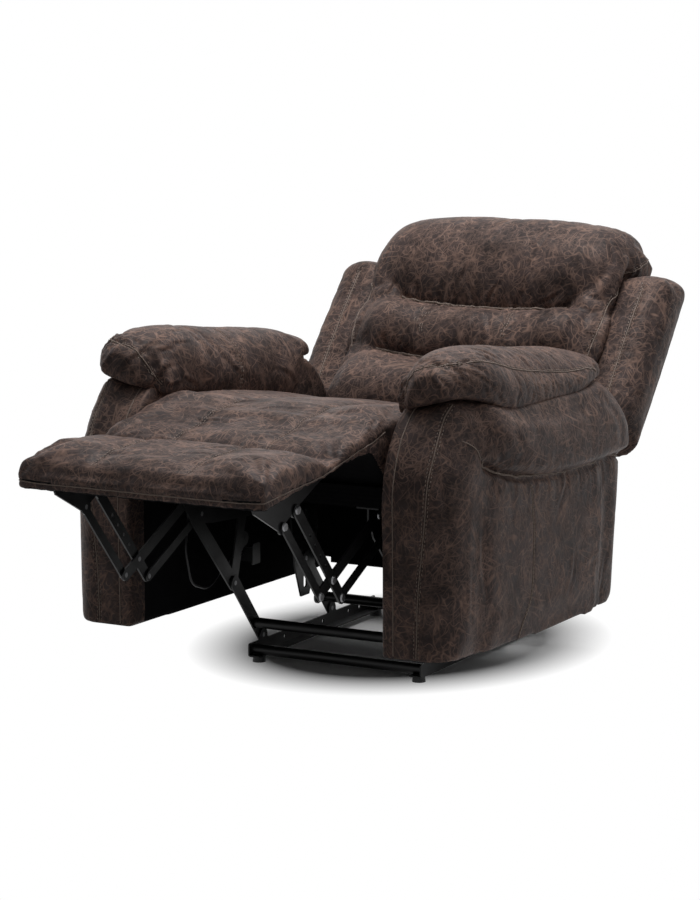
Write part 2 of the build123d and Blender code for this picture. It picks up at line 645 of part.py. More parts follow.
with BuildPart() as back_posts:
    with BuildSketch(back_plane.offset(FRAME_BACK)):
        with Locations((0, (POST_LOW + POST_HIGH) / 2)):
            with GridLocations(2 * POST_OUT - POST, 1, 2, 1):
                Rectangle(POST, POST_HIGH - POST_LOW)
    extrude(amount=FRAME_FRONT - FRAME_BACK)
save(back_posts.part, "back_posts")

with BuildPart() as back_rails:
    with BuildSketch(back_plane.offset(FRAME_BACK)):
        for height in BACK_RAILS:
            with Locations((0, height)):
                Rectangle(2 * (POST_OUT - POST), CROSS_RAIL)
    extrude(amount=FRAME_FRONT - FRAME_BACK)
save(back_rails.part, "back_rails")

with BuildPart() as back_webbing:
    with BuildSketch(back_plane.offset(FRAME_FRONT)):
        for height in BACK_STRAPS:
            with Locations((0, height)):
                Rectangle(2 * POST_OUT, STRAP)
    extrude(amount=WEB)
save(back_webbing.part, "back_webbing")

with BuildPart() as back_panel:
    with BuildSketch(back_plane.offset(PANEL_BACK)):
        with Locations((0, 290)):
            RectangleRounded(2 * WING_IN, 612, 20)
    extrude(amount=FRAME_BACK - PANEL_BACK)
save(back_panel.part, "back_panel")


def wing_section(x, inset):
    front, rear = WING_FRONT - inset, PANEL_BACK + inset
    corners = [on_back(138 + inset, front), on_back(486 - inset, front), on_back(518 - inset, -104),
               on_back(545 - inset, -150), on_back(524 - inset, rear), on_back(116 + inset, rear)]
    return profile(x, corners, (5, 6, 3, 9, 4, 0))


for side, sign in SIDES:
    with BuildPart() as wing:
        loft(sections=[wing_section(sign * x, inset) for x, inset in
                       ((WING_IN, 5), (WING_IN + 18, 0), (WING_OUT - 18, 0), (WING_OUT, 14))])
    save(wing.part, f"wing_{side}")


def edge_rolls(low, high, stations):
    """The rounded edges of a back cushion, which hang over the wings."""
    for _, sign in SIDES:
        sections = []
        for x, crown, inset in stations:
            corners = [on_back(low + inset, OVERHANG + 10), on_back(high - inset, OVERHANG + 10),
                       on_back(high - inset, OVERHANG), on_back(low + inset, OVERHANG)]
            sections.append(profile(sign * x, corners, (crown, 0, 0, 0)))
        loft(sections=sections)


def lumbar_section(x, drop, inset):
    corners = [on_back(36 + inset, -14 - drop), on_back(48 + inset, 34 - drop),
               on_back(245 - inset, -33 - drop / 2), on_back(245 - inset, CUSHION_REAR),
               on_back(36 + inset, CUSHION_REAR)]
    return profile(x, corners, (8, 36 - drop / 3, 0, 0, 0))


def middle_section(x, drop, inset):
    corners = [on_back(248 + inset, -33 - drop / 2), on_back(398 - inset, -52 - drop / 2),
               on_back(398 - inset, CUSHION_REAR), on_back(248 + inset, CUSHION_REAR)]
    return profile(x, corners, (52 - drop, 0, 0, 0))


def head_section(x, drop, inset):
    corners = [on_back(401 + inset, -52 - drop / 2), on_back(620 - 2 * inset, -45 - drop),
               on_back(628 - 2 * inset, -184), on_back(604, -184), on_back(604, CUSHION_REAR),
               on_back(401 + inset, CUSHION_REAR)]
    return profile(x, corners, (56 - drop / 2, 36 - inset, 0, 0, 0, 0))


lumbar_stations = across([(0, 0, 0), (110, 1, 0), (200, 4, 0), (240, 12, 1), (272, 36, 6)])
with BuildPart() as lumbar_cushion:
    loft(sections=[lumbar_section(*station) for station in lumbar_stations])
    edge_rolls(178, 243, ((250, 26, 0), (286, 20, 2), (300, 8, 12)))
save(lumbar_cushion.part, "lumbar_cushion")

middle_stations = across([(0, 0, 0), (100, 5, 0), (175, 1, 0), (248, 12, 1), (280, 30, 4)])
with BuildPart() as middle_cushion:
    loft(sections=[middle_section(*station) for station in middle_stations])
    edge_rolls(250, 396, ((250, 30, 0), (290, 24, 3), (308, 9, 16)))
save(middle_cushion.part, "middle_cushion")

head_stations = across([(0, 0, 0), (120, 2, 0), (200, 6, 2), (255, 16, 5), (284, 34, 10)])
with BuildPart() as head_cushion:
    loft(sections=[head_section(*station) for station in head_stations])
    edge_rolls(404, 560, ((250, 30, 0), (284, 26, 2), (302, 9, 16)))
save(head_cushion.part, "head_cushion")
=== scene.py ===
"""Dresses the reclining armchair: upholstery, stitching, finishes, floor, lights and camera.

Lengths are millimetres where a name or a comment says so, and metres in the scene itself.
"""
import bpy
import bmesh
import json
import numpy as np
from math import cos, pi, radians, sin
from mathutils import Matrix, Vector
from mathutils.bvhtree import BVHTree


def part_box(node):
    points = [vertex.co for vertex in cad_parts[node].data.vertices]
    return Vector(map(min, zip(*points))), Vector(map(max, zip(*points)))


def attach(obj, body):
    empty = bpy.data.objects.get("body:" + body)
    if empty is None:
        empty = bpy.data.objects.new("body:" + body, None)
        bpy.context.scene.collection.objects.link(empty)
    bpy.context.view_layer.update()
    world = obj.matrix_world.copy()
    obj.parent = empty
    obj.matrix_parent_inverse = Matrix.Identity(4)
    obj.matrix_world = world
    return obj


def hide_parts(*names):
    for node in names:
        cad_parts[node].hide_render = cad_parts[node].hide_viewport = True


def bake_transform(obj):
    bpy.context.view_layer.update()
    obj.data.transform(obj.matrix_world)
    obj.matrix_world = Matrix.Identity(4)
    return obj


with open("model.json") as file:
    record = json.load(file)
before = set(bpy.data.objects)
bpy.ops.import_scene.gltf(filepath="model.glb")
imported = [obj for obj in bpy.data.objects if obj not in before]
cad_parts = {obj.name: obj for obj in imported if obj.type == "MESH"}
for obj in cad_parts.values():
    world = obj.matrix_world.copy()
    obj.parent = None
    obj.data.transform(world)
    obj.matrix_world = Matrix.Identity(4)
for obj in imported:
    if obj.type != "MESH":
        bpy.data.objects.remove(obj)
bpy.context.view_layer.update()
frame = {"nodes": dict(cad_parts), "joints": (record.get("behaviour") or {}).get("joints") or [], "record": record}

MM = 0.001
SIDES = (("left", 1), ("right", -1))
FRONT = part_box("arm_cover_left")[0].y          # the arms' front faces
HINGE = np.array(next(joint["pos_m"] for joint in frame["joints"] if joint["name"] == "back_tilt"))
BACK_LEAN = radians(41)
ARM_IN = 282.5                                 # inner faces of the arms, mm
VOXEL = 6 * MM
SIM_FRAMES = 20
CLOTH = {"quality": 4, "mass": 0.25, "tension_stiffness": 12, "compression_stiffness": 6,
         "shear_stiffness": 4, "bending_stiffness": 0.15, "use_pressure": True, "uniform_pressure_force": 4.0}
HELD_LEVELS, HELD_STEP = (0.3, 0.6, 1.0), 0.3
EVEN_LEVELS, EVEN_STEP = (0.25, 0.5, 0.75, 1.0), 0.25
SEAM_SKIP = 4                                  # samples of a seam between the points that its dark strip of painted shade follows
SEAM_TAPER = 25                                # a seam deepens over this length at its ends, mm
SEAM_SHADE_HALF_WIDTH, TUCK_SHADE_HALF_WIDTH = 1.3, 2.6             # half the width of the dark strip of painted shade in a seam and in a tuck, mm
# How far the padding may push each kind of cover, in mm, and how much its cloth may grow
PUSH = {"back": (15, 0.014), "seat": (8, 0.004), "arm": (5, 0.001), "wing": (7, 0.004), "pad": (10, 0.012)}

# Camera, solved from the photograph
LENS = 121.24
CAMERA_AT = (2933.1, -5008.2, 1456.0)          # mm, with depth counted from the arms' fronts
CAMERA_TARGET = (110, 200, 493)


def at(x, depth, height):
    """A point given in millimetres, its depth counted back from the arms' fronts."""
    return np.array((x * MM, FRONT + depth * MM, height * MM))


def on_back(x, along, out):
    """A point on the back, in millimetres up from the hinge and forward of it."""
    c, s = cos(BACK_LEAN), sin(BACK_LEAN)
    return np.array((x * MM, HINGE[1] + (along * s - out * c) * MM, HINGE[2] + (along * c + out * s) * MM))


def smooth(low, high, value):
    """A smooth step from 0 at low to 1 at high."""
    t = np.clip((np.asarray(value, float) - low) / (high - low), 0, 1)
    return t * t * (3 - 2 * t)


def bell(value, width):
    return np.exp(-(np.asarray(value, float) / width) ** 2)


def ripple(s, seed):
    """Uneven waves along a seam, between -1 and 1, for arc lengths in metres."""
    rng = np.random.default_rng(seed)
    wave = np.zeros_like(s)
    for length, share in ((31, 0.5), (19, 0.3), (53, 0.35)):
        wave += share * np.sin(2 * pi * s / (length * MM) + rng.uniform(0, 2 * pi))
    return np.clip(wave, -1, 1)


# Meshes as arrays
def coords(mesh):
    co = np.empty(len(mesh.vertices) * 3, np.float32)
    mesh.vertices.foreach_get("co", co)
    return co.reshape(-1, 3).astype(float)


def normals(mesh):
    no = np.empty(len(mesh.vertices) * 3, np.float32)
    mesh.vertex_normals.foreach_get("vector", no)
    return no.reshape(-1, 3).astype(float)


def move_to(mesh, co):
    mesh.vertices.foreach_set("co", co.astype(np.float32).ravel())
    mesh.update()


def place(name, mesh, material):
    piece = bpy.data.objects.new(name, mesh)
    bpy.context.scene.collection.objects.link(piece)
    mesh.materials.clear()
    mesh.materials.append(material)
    return piece


def apply_modifiers(piece):
    """Replace a piece's mesh by what its modifiers make of it."""
    shown = piece.evaluated_get(bpy.context.evaluated_depsgraph_get())
    mesh = bpy.data.meshes.new_from_object(shown)
    piece.modifiers.clear()
    piece.data = mesh
    mesh.shade_smooth()
    return mesh


def spline(points, step=4 * MM):
    """A smooth line through points, sampled evenly: its samples and their arc lengths."""
    points = np.asarray(points, float)
    ends = np.vstack((2 * points[0] - points[1], points, 2 * points[-1] - points[-2]))
    t = np.linspace(0, 1, 25)[:-1, None]
    line = []
    for a, b, c, d in zip(ends, ends[1:], ends[2:], ends[3:]):
        line.append(0.5 * (2 * b + (c - a) * t + (2 * a - 5 * b + 4 * c - d) * t ** 2
                           + (3 * b - a - 3 * c + d) * t ** 3))
    line = np.vstack(line + [points[-1:]])
    run = np.concatenate(([0], np.cumsum(np.linalg.norm(np.diff(line, axis=0), axis=1))))
    s = np.linspace(0, run[-1], max(2, int(run[-1] / step)))
    return np.column_stack([np.interp(s, run, line[:, i]) for i in range(3)]), s


def nearest(co, line, s, reach=0.11):
    """Distance of each vertex to a sampled line, and the arc length there; far vertices are left out."""
    best = np.full(len(co), np.inf)
    where = np.zeros(len(co))
    close = np.nonzero(((co > line.min(0) - reach) & (co < line.max(0) + reach)).all(1))[0]
    for point, run in zip(line, s):
        gap = np.linalg.norm(co[close] - point, axis=1)
        closer = gap < best[close]
        best[close[closer]] = gap[closer]
        where[close[closer]] = run
    return best, where


# Materials
def new_material(name):
    material = bpy.data.materials.new(name)
    material.use_nodes = True
    tree = material.node_tree
    return material, tree, tree.nodes["Principled BSDF"]


def feed(tree, node, inputs):
    """Set a node's inputs, and link those that are given another node's output."""
    for key, value in inputs.items():
        if isinstance(value, bpy.types.NodeSocket):
            tree.links.new(value, node.inputs[key])
        else:
            node.inputs[key].default_value = value


def add(tree, kind, inputs=None, **settings):
    """Add a shader node with its properties and inputs."""
    node = tree.nodes.new(kind)
    for key, value in settings.items():
        setattr(node, key, value)
    feed(tree, node, inputs or {})
    return node


def ramp(tree, value, low, high, out_low=0.0, out_high=1.0):
    node = add(tree, "ShaderNodeMapRange", {"Value": value, "From Min": low, "From Max": high,
                                            "To Min": out_low, "To Max": out_high})
    return node.outputs["Result"]


def calc(tree, operation, a, b):
    return add(tree, "ShaderNodeMath", {0: a, 1: b}, operation=operation).outputs[0]


def vector_math(tree, operation, inputs, output="Vector"):
    return add(tree, "ShaderNodeVectorMath", inputs, operation=operation).outputs[output]


def mix_colour(tree, factor, a, b):
    return add(tree, "ShaderNodeMix", {0: factor, 6: a, 7: b}, data_type="RGBA").outputs[2]


def noise(tree, vector, scale, detail=4.0, rough=0.55, warp=0.0):
    inputs = {"Vector": vector, "Scale": scale, "Detail": detail, "Roughness": rough, "Distortion": warp}
    return add(tree, "ShaderNodeTexNoise", inputs).outputs["Fac"]


def object_coords(tree):
    return add(tree, "ShaderNodeTexCoord").outputs["Object"]


def bump(tree, height, strength, distance, below=None):
    inputs = {"Height": height, "Strength": strength, "Distance": distance}
    if below is not None:
        inputs["Normal"] = below
    return add(tree, "ShaderNodeBump", inputs).outputs["Normal"]


def shifted_coords(tree, vector, by, amount):
    """Coordinates pushed about by a noise."""
    wander = noise(tree, vector, by, detail=3.0).node.outputs["Color"]
    centred = vector_math(tree, "SUBTRACT", {0: wander, 1: (0.5, 0.5, 0.5)})
    scaled = vector_math(tree, "SCALE", {0: centred, "Scale": amount})
    return vector_math(tree, "ADD", {0: vector, 1: scaled})


def strokes(tree, vector, way, size, width, keep, shift):
    """Hair-thin scratches that run one way, in broken clusters."""
    turn = Vector(way).to_track_quat("Y", "Z").to_euler()
    inputs = {"Vector": vector, "Location": shift, "Rotation": turn, "Scale": size}
    turned = add(tree, "ShaderNodeMapping", inputs, vector_type="TEXTURE").outputs[0]
    field = noise(tree, turned, 1.0, detail=0.0)
    off = calc(tree, "ABSOLUTE", calc(tree, "SUBTRACT", field, 0.5), 0.0)
    line = ramp(tree, off, 0.0, width, 1.0, 0.0)
    moved = vector_math(tree, "ADD", {0: vector, 1: shift})
    cluster = ramp(tree, noise(tree, moved, 17.0, detail=3.0, rough=0.6), keep, keep + 0.10)
    return calc(tree, "MULTIPLY", line, cluster)


LEATHER_DARK, LEATHER_LIGHT = (0.023, 0.0168, 0.0162, 1), (0.079, 0.058, 0.0548, 1)
SCRATCH_COLOUR = (0.265, 0.170, 0.134, 1)
LONG_STROKE = (0.019, 0.36, 0.019)             # spread and length of the scratches, in metres
SHORT_STROKE = (0.011, 0.15, 0.011)
STROKE_WAYS = ((1, 0.5, 0.1), (1, -0.7, 0.2), (0.1, 1, 0.7), (-0.1, 0.5, -1), (0.2, 1, -0.35), (0.9, 0.1, 1),
               (-0.6, 0.1, 1))


def leather():
    """Distressed faux leather: dark brown, clouded, with thin tan scratches."""
    material, tree, bsdf = new_material("distressed_leather")
    where = object_coords(tree)
    loose = shifted_coords(tree, where, by=8.0, amount=0.010)
    blotch = noise(tree, loose, 13.0, detail=6.0, rough=0.66)
    cloud = noise(tree, where, 70.0, rough=0.65)
    marks = 0.0
    for number, way in enumerate(STROKE_WAYS):
        shift = (0.37 * number, 0.71 * number, 0.13 * number)
        bold = strokes(tree, loose, way, LONG_STROKE, width=0.038, keep=0.47, shift=shift)
        fine = strokes(tree, loose, way, SHORT_STROKE, width=0.05, keep=0.50, shift=shift[::-1])
        both = calc(tree, "MAXIMUM", bold, calc(tree, "MULTIPLY", fine, 0.6))
        marks = calc(tree, "MAXIMUM", marks, both)
    tone = calc(tree, "ADD", calc(tree, "MULTIPLY", blotch, 0.7), calc(tree, "MULTIPLY", cloud, 0.3))
    base = mix_colour(tree, ramp(tree, tone, 0.36, 0.64), LEATHER_DARK, LEATHER_LIGHT)
    patch = ramp(tree, tone, 0.38, 0.58, 0.35, 1.0)
    grain = add(tree, "ShaderNodeTexVoronoi", {"Vector": where, "Scale": 520.0}).outputs["Distance"]
    wrinkle = noise(tree, loose, 46.0, detail=5.0, rough=0.6, warp=0.4)
    fold = bump(tree, wrinkle, strength=0.22, distance=0.004)
    cracked = bump(tree, marks, strength=0.12, distance=0.0008, below=fold)
    feed(tree, bsdf, {
        "Base Color": mix_colour(tree, calc(tree, "MULTIPLY", marks, patch), base, SCRATCH_COLOUR),
        "Roughness": ramp(tree, noise(tree, where, 34.0), 0.3, 0.7, 0.42, 0.56),
        "Specular IOR Level": 0.07,
        "Normal": bump(tree, grain, strength=0.16, distance=0.0006, below=cracked),
    })
    return material


def woven(name, dark, light, pitch, rough):
    """Plain woven cloth."""
    material, tree, bsdf = new_material(name)
    where = object_coords(tree)
    inputs = {"Vector": where, "Scale": pitch, "Distortion": 0.6}
    waves = []
    for direction in ("X", "Y", "Z"):
        waves.append(add(tree, "ShaderNodeTexWave", inputs, bands_direction=direction).outputs["Fac"])
    weave = calc(tree, "MULTIPLY", calc(tree, "ADD", waves[0], waves[1]), waves[2])
    slub = noise(tree, where, 60.0, detail=5.0)
    feed(tree, bsdf, {
        "Base Color": mix_colour(tree, calc(tree, "MULTIPLY", slub, weave), dark, light),
        "Roughness": rough,
        "Specular IOR Level": 0.05,
        "Normal": bump(tree, weave, strength=0.35, distance=0.0005),
    })
    return material


def painted_steel():
    """Satin black powder coat with rubbed patches and a fine orange-peel surface."""
    material, tree, bsdf = new_material("black_powder_coat")
    where = object_coords(tree)
    black, rubbed = (0.007, 0.007, 0.0075, 1), (0.035, 0.034, 0.033, 1)
    wear = ramp(tree, noise(tree, where, 38.0, detail=7.0, rough=0.7), 0.62, 0.78)
    feed(tree, bsdf, {
        "Base Color": mix_colour(tree, calc(tree, "MULTIPLY", wear, 0.4), black, rubbed),
        "Roughness": ramp(tree, noise(tree, where, 21.0), 0.3, 0.7, 0.30, 0.46),
        "Specular IOR Level": 0.2,
        "Normal": bump(tree, noise(tree, where, 420.0, detail=2.0), strength=0.10, distance=0.0006),
    })
    return material


def zinc_steel():
    """Dull zinc plate, clouded."""
    material, tree, bsdf = new_material("zinc_plate")
    cloud = noise(tree, object_coords(tree), 150.0, detail=5.0)
    feed(tree, bsdf, {
        "Base Color": mix_colour(tree, cloud, (0.10, 0.10, 0.105, 1), (0.30, 0.30, 0.31, 1)),
        "Roughness": ramp(tree, cloud, 0.3, 0.7, 0.32, 0.5),
        "Metallic": 0.9,
        "Normal": bump(tree, cloud, strength=0.08, distance=0.0004),
    })
    return material


def wood(name, pale, dark, rings):
    """Sawn timber or ply, with grain along one axis."""
    material, tree, bsdf = new_material(name)
    where = shifted_coords(tree, object_coords(tree), by=6.0, amount=0.03)
    long = add(tree, "ShaderNodeMapping", {"Vector": where, "Scale": (1.0, 0.06, 1.0)}).outputs[0]
    inputs = {"Vector": long, "Scale": rings, "Distortion": 5.0, "Detail": 3.0}
    grain = add(tree, "ShaderNodeTexWave", inputs, bands_direction="DIAGONAL").outputs["Fac"]
    fibre = noise(tree, long, 260.0, detail=3.0)
    feed(tree, bsdf, {
        "Base Color": mix_colour(tree, calc(tree, "MULTIPLY", grain, fibre), pale, dark),
        "Roughness": 0.7,
        "Normal": bump(tree, fibre, strength=0.2, distance=0.0006),
    })
    return material


def plastic(name, colour, rough):
    """Moulded plastic with a fine grain."""
    material, tree, bsdf = new_material(name)
    where = object_coords(tree)
    mottle = noise(tree, where, 90.0)
    lighter = tuple(1.6 * value for value in colour[:3]) + (1,)
    feed(tree, bsdf, {
        "Base Color": mix_colour(tree, mottle, colour, lighter),
        "Roughness": ramp(tree, mottle, 0.3, 0.7, rough - 0.06, rough + 0.06),
        "Specular IOR Level": 0.3,
        "Normal": bump(tree, noise(tree, where, 800.0, detail=2.0), strength=0.12, distance=0.0004),
    })
    return material


def thread_and_seam_shade(name, dark, light):
    """Twisted yarn for stitches; made near-black, it is also the painted shade laid along seams."""
    material, tree, bsdf = new_material(name)
    inputs = {"Vector": object_coords(tree), "Scale": 900.0, "Distortion": 1.0}
    twist = add(tree, "ShaderNodeTexWave", inputs, bands_direction="DIAGONAL").outputs["Fac"]
    feed(tree, bsdf, {
        "Base Color": mix_colour(tree, twist, dark, light),
        "Roughness": 0.65,
        "Specular IOR Level": 0.2,
        "Normal": bump(tree, twist, strength=0.4, distance=0.0003),
    })
    return material


LEATHER = leather()
LINING = woven("black_lining", (0.0035, 0.0035, 0.004, 1), (0.012, 0.0115, 0.012, 1), 330.0, 0.95)
REAR_CLOTH = woven("rear_cloth", (0.014, 0.0135, 0.014, 1), (0.060, 0.057, 0.057, 1), 330.0, 0.9)
WEBBING = woven("webbing", (0.05, 0.045, 0.04, 1), (0.14, 0.12, 0.10, 1), 190.0, 0.85)
THREAD = thread_and_seam_shade("stitch_thread", (0.150, 0.115, 0.095, 1), (0.340, 0.270, 0.230, 1))
# Painted shade: near-black strips laid in the seams and tucks darken their grooves.
PAINTED_SEAM_SHADE = thread_and_seam_shade("painted_seam_shade", (0.006, 0.0045, 0.004, 1), (0.012, 0.009, 0.008, 1))
FINISHES = {
    "black_steel": painted_steel(),
    "zinc_steel": zinc_steel(),
    "timber": wood("sawn_softwood", (0.52, 0.36, 0.20, 1), (0.30, 0.18, 0.09, 1), 22.0),
    "plywood": wood("birch_ply", (0.55, 0.40, 0.24, 1), (0.36, 0.23, 0.12, 1), 14.0),
    "black_plastic": plastic("grained_plastic", (0.016, 0.016, 0.017, 1), 0.5),
    "cable_sheath": plastic("cable_sheath", (0.011, 0.011, 0.012, 1), 0.38),
    "lining": LINING,
    "webbing": WEBBING,
    "leather": LEATHER,
}


WRAPPED = {
    "footrest_board": LINING,
    "arm_frame_left": LINING,
    "arm_frame_right": LINING,
    "seat_side_rails": LINING,
    "seat_cross_rails": LINING,
    "back_posts": LINING,
    "back_rails": LINING,
    "back_panel": REAR_CLOTH,
}


def finish_nodes():
    """Give every carried-over node the finish of its slot, or the cloth that it is wrapped in."""
    for entry in frame["record"]["subparts"]:
        name = entry["node"]
        materials = frame["nodes"][name].data.materials
        materials.clear()
        materials.append(WRAPPED[name] if name in WRAPPED else FINISHES[entry["material_slot"]])


# Upholstery
def hull(rings):
    """A closed mesh through rings of points, capped at both ends."""
    mesh = bmesh.new()
    loops = [[mesh.verts.new(point) for point in ring] for ring in rings]
    mesh.faces.new(loops[0])
    mesh.faces.new(loops[-1][::-1])
    for one, other in zip(loops, loops[1:]):
        for i in range(len(one)):
            mesh.faces.new((one[i], one[i - 1], other[i - 1], other[i]))
    bmesh.ops.recalc_face_normals(mesh, faces=mesh.faces)
    return mesh


def soft_form(name, nodes, extras=()):
    """One even mesh round the solids of some nodes and any extra hulls."""
    whole = bmesh.new()
    for node in nodes:
        whole.from_mesh(frame["nodes"][node].data)
    for extra in extras:
        mesh = bpy.data.meshes.new("extra")
        extra.to_mesh(mesh)
        whole.from_mesh(mesh)
        extra.free()
        bpy.data.meshes.remove(mesh)
    mesh = bpy.data.meshes.new(name)
    whole.to_mesh(mesh)
    whole.free()
    piece = place(name, mesh, LEATHER)
    voxels = piece.modifiers.new("even", "REMESH")
    voxels.mode = "VOXEL"
    voxels.voxel_size = VOXEL
    relax = piece.modifiers.new("relax", "SMOOTH")
    relax.factor = 0.5
    relax.iterations = 4
    apply_modifiers(piece)
    return piece


def weigh(piece, name, weights, levels, step):
    """A vertex group that gives each level to the weights in the step below it."""
    group = piece.vertex_groups.new(name=name)
    for level in levels:
        chosen = np.nonzero((weights > level - step) & (weights <= level))[0]
        group.add(chosen.tolist(), level, "REPLACE")


def hold(piece, weights):
    """Vertices that the padding can't push: 1 is fixed."""
    weigh(piece, "held", weights, HELD_LEVELS, HELD_STEP)


def held_near(co, points, inner, outer):
    """Weights of 1 within inner millimetres of a line, falling to 0 at outer."""
    gap, _ = nearest(co, *spline(points))
    return 1 - smooth(inner * MM, outer * MM, gap)


def inflate(pieces):
    """Blow the covers up against their seams, with each vertex's movement capped."""
    scene = bpy.context.scene
    for piece, _, slack in pieces:
        cloth = piece.modifiers.new("padding", "CLOTH")
        for key, value in CLOTH.items():
            setattr(cloth.settings, key, value)
        cloth.settings.shrink_min = -slack
        cloth.settings.effector_weights.gravity = 0
        cloth.settings.vertex_group_mass = "held"
        cloth.point_cache.frame_start = 1
        cloth.point_cache.frame_end = SIM_FRAMES
    for number in range(1, SIM_FRAMES + 1):
        scene.frame_set(number)
    graph = bpy.context.evaluated_depsgraph_get()
    for piece, cap, _ in pieces:
        start = coords(piece.data)
        shift = coords(piece.evaluated_get(graph).data) - start
        length = np.linalg.norm(shift, axis=1, keepdims=True)
        shift *= np.minimum(1, cap * MM / np.maximum(length, 1e-9))
        piece.modifiers.clear()
        move_to(piece.data, start + shift)
    scene.frame_set(1)


def sew(piece, points, groove, width, gather=0.0, reach=30, seed=1):
    """Draw a seam into the cover, in millimetres: a groove along a line, with gathers running out from it.

    Returns points along the bottom of the groove.
    """
    line, s = spline(points)
    co, no = coords(piece.data), normals(piece.data)
    gap, where = nearest(co, line, s)
    taper = np.minimum(1, np.minimum(where, s[-1] - where) / (SEAM_TAPER * MM) + 0.25)
    sink = groove * bell(gap, width * MM) * taper
    wave = gather * ripple(where, seed) * np.exp(-gap / (reach * MM)) * (1 - bell(gap, width * MM))
    shift = no * ((wave - sink) * MM)[:, None]
    move_to(piece.data, co + shift)
    bottom = []
    for point in line[::SEAM_SKIP]:
        pick = np.argmin(((co - point) ** 2).sum(1))
        bottom.append(point - no[pick] * ((point - co[pick]) @ no[pick]) + shift[pick])
    return bottom


def crease(piece, chosen, along, count, length, depth, width, seed):
    """Scatter soft creases over the chosen vertices, roughly along a direction."""
    rng = np.random.default_rng(seed)
    co, no = coords(piece.data), normals(piece.data)
    pool = np.nonzero(chosen)[0]
    lift = np.zeros(len(co))
    for start in rng.choice(pool, count):
        course = np.asarray(along, float) + rng.normal(0, 0.35, 3)
        course -= no[start] * (course @ no[start])
        course /= np.linalg.norm(course)
        across = np.cross(no[start], course)
        near = np.nonzero(np.abs(co - co[start]).max(1) < 1.3 * length * MM)[0]
        rel = co[near] - co[start]
        t, w, h = rel @ course, rel @ across, rel @ no[start]
        bend = w - rng.normal(0, 2.0) * t * t
        size = rng.uniform(0.5, 1.0)
        shape = bell(t, 0.5 * length * size * MM) * bell(h, 25 * MM)
        section = 0.7 * bell(bend - width * MM, width * MM) - bell(bend, 0.8 * width * MM)
        lift[near] += depth * size * shape * section
    move_to(piece.data, co + no * (lift * MM)[:, None])


def finish_cover(piece):
    """One subdivision, applied."""
    rounding = piece.modifiers.new("round", "SUBSURF")
    rounding.levels = 1
    rounding.render_levels = 1
    apply_modifiers(piece)


def paint_lining(piece, lined):
    """Give lining to the faces that a test on (centre, normal) arrays picks out."""
    mesh = piece.data
    mesh.materials.append(LINING)
    count = len(mesh.polygons)
    centre, normal = np.empty(count * 3, np.float32), np.empty(count * 3, np.float32)
    mesh.polygons.foreach_get("center", centre)
    mesh.polygons.foreach_get("normal", normal)
    index = lined(centre.reshape(-1, 3), normal.reshape(-1, 3)).astype(np.int32)
    mesh.polygons.foreach_set("material_index", index)


def stitches_and_seam_shade(name, cover, rows, seams, pitch=8.0, length=5.6, thick=1.0):
    """Stitches on a cover, in rows of (points, sideways offset), and dark strips of painted shade along its seams.
    """
    tree = BVHTree.FromObject(cover, bpy.context.evaluated_depsgraph_get())
    mesh = bmesh.new()
    for points, offset in rows:
        line, _ = spline(points, pitch * MM)
        for i in range(1, len(line) - 1):
            spot, normal, _, _ = tree.find_nearest(Vector(line[i]))
            along = Vector(line[i + 1] - line[i - 1])
            along = (along - normal * along.dot(normal)).normalized()
            aside = normal.cross(along)
            spot, normal, _, _ = tree.find_nearest(spot + aside * (offset * MM))
            along = (along - normal * along.dot(normal)).normalized()
            basis = Matrix((along, normal.cross(along), normal)).transposed().to_4x4()
            basis.translation = spot + normal * (0.35 * thick * MM)
            one = bmesh.ops.create_uvsphere(mesh, u_segments=6, v_segments=5, radius=0.5)
            size = Matrix.Diagonal((length * MM, 2 * thick * MM, 1.7 * thick * MM, 1))
            turn = Matrix.Rotation(pi / 2, 4, "Y")
            bmesh.ops.transform(mesh, matrix=basis @ size @ turn, verts=one["verts"])
    for points, width in seams:
        lay_seam_shade(mesh, tree, points, width)
    data = bpy.data.meshes.new(name)
    mesh.to_mesh(data)
    mesh.free()
    data.shade_smooth()
    piece = place(name, data, THREAD)
    # the second material is the painted seam shade
    data.materials.append(PAINTED_SEAM_SHADE)
    return piece


def lay_seam_shade(mesh, tree, points, thick, sides=6):
    """A dark strip of painted shade along a seam, half sunk in the cover."""
    line, _ = spline(points)
    ring = None
    for i in range(1, len(line) - 1):
        spot, normal, _, _ = tree.find_nearest(Vector(line[i]))
        along = Vector(line[i + 1] - line[i - 1])
        aside = normal.cross(along).normalized()
        spot = spot + normal * (0.4 * thick * MM)
        turned = []
        for k in range(sides):
            angle = 2 * pi * k / sides
            turned.append(mesh.verts.new(spot + (aside * cos(angle) + normal * sin(angle)) * (thick * MM)))
        faces = [turned] if i in (1, len(line) - 2) else []
        if ring is not None:
            faces += [(ring[k], ring[k - 1], turned[k - 1], turned[k]) for k in range(sides)]
        # material 1 is the painted seam shade
        for face in faces:
            mesh.faces.new(face).material_index = 1
        ring = turned


def carry(piece, stitching_and_shade, body, fill, *nodes):
    """Let a cover, its stitching and its painted seam shade ride on a body, in place of the solids that it covers.
    """
    for part in (piece, stitching_and_shade):
        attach(part, body)
    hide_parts(*nodes)


def back_frame_of(co):
    """Coordinates on the back: along and out, in millimetres."""
    c, s = cos(BACK_LEAN), sin(BACK_LEAN)
    y, z = co[:, 1] - HINGE[1], co[:, 2] - HINGE[2]
    return (y * s + z * c) / MM, (z * s - y * c) / MM


def from_back_frame(x, along, out):
    c, s = cos(BACK_LEAN), sin(BACK_LEAN)
    return np.column_stack((x, HINGE[1] + (along * s - out * c) * MM, HINGE[2] + (along * c + out * s) * MM))


# The back: one cover over three cushions, gathered at two curved tucks
TUCKS = ((400, 20, -52), (246, 16, -33))       # up the back, sag at the middle, forward of the hinge
TUCK_HALF = 215
UP_BACK = (sin(BACK_LEAN), cos(BACK_LEAN))     # the back's slope, in Y and Z


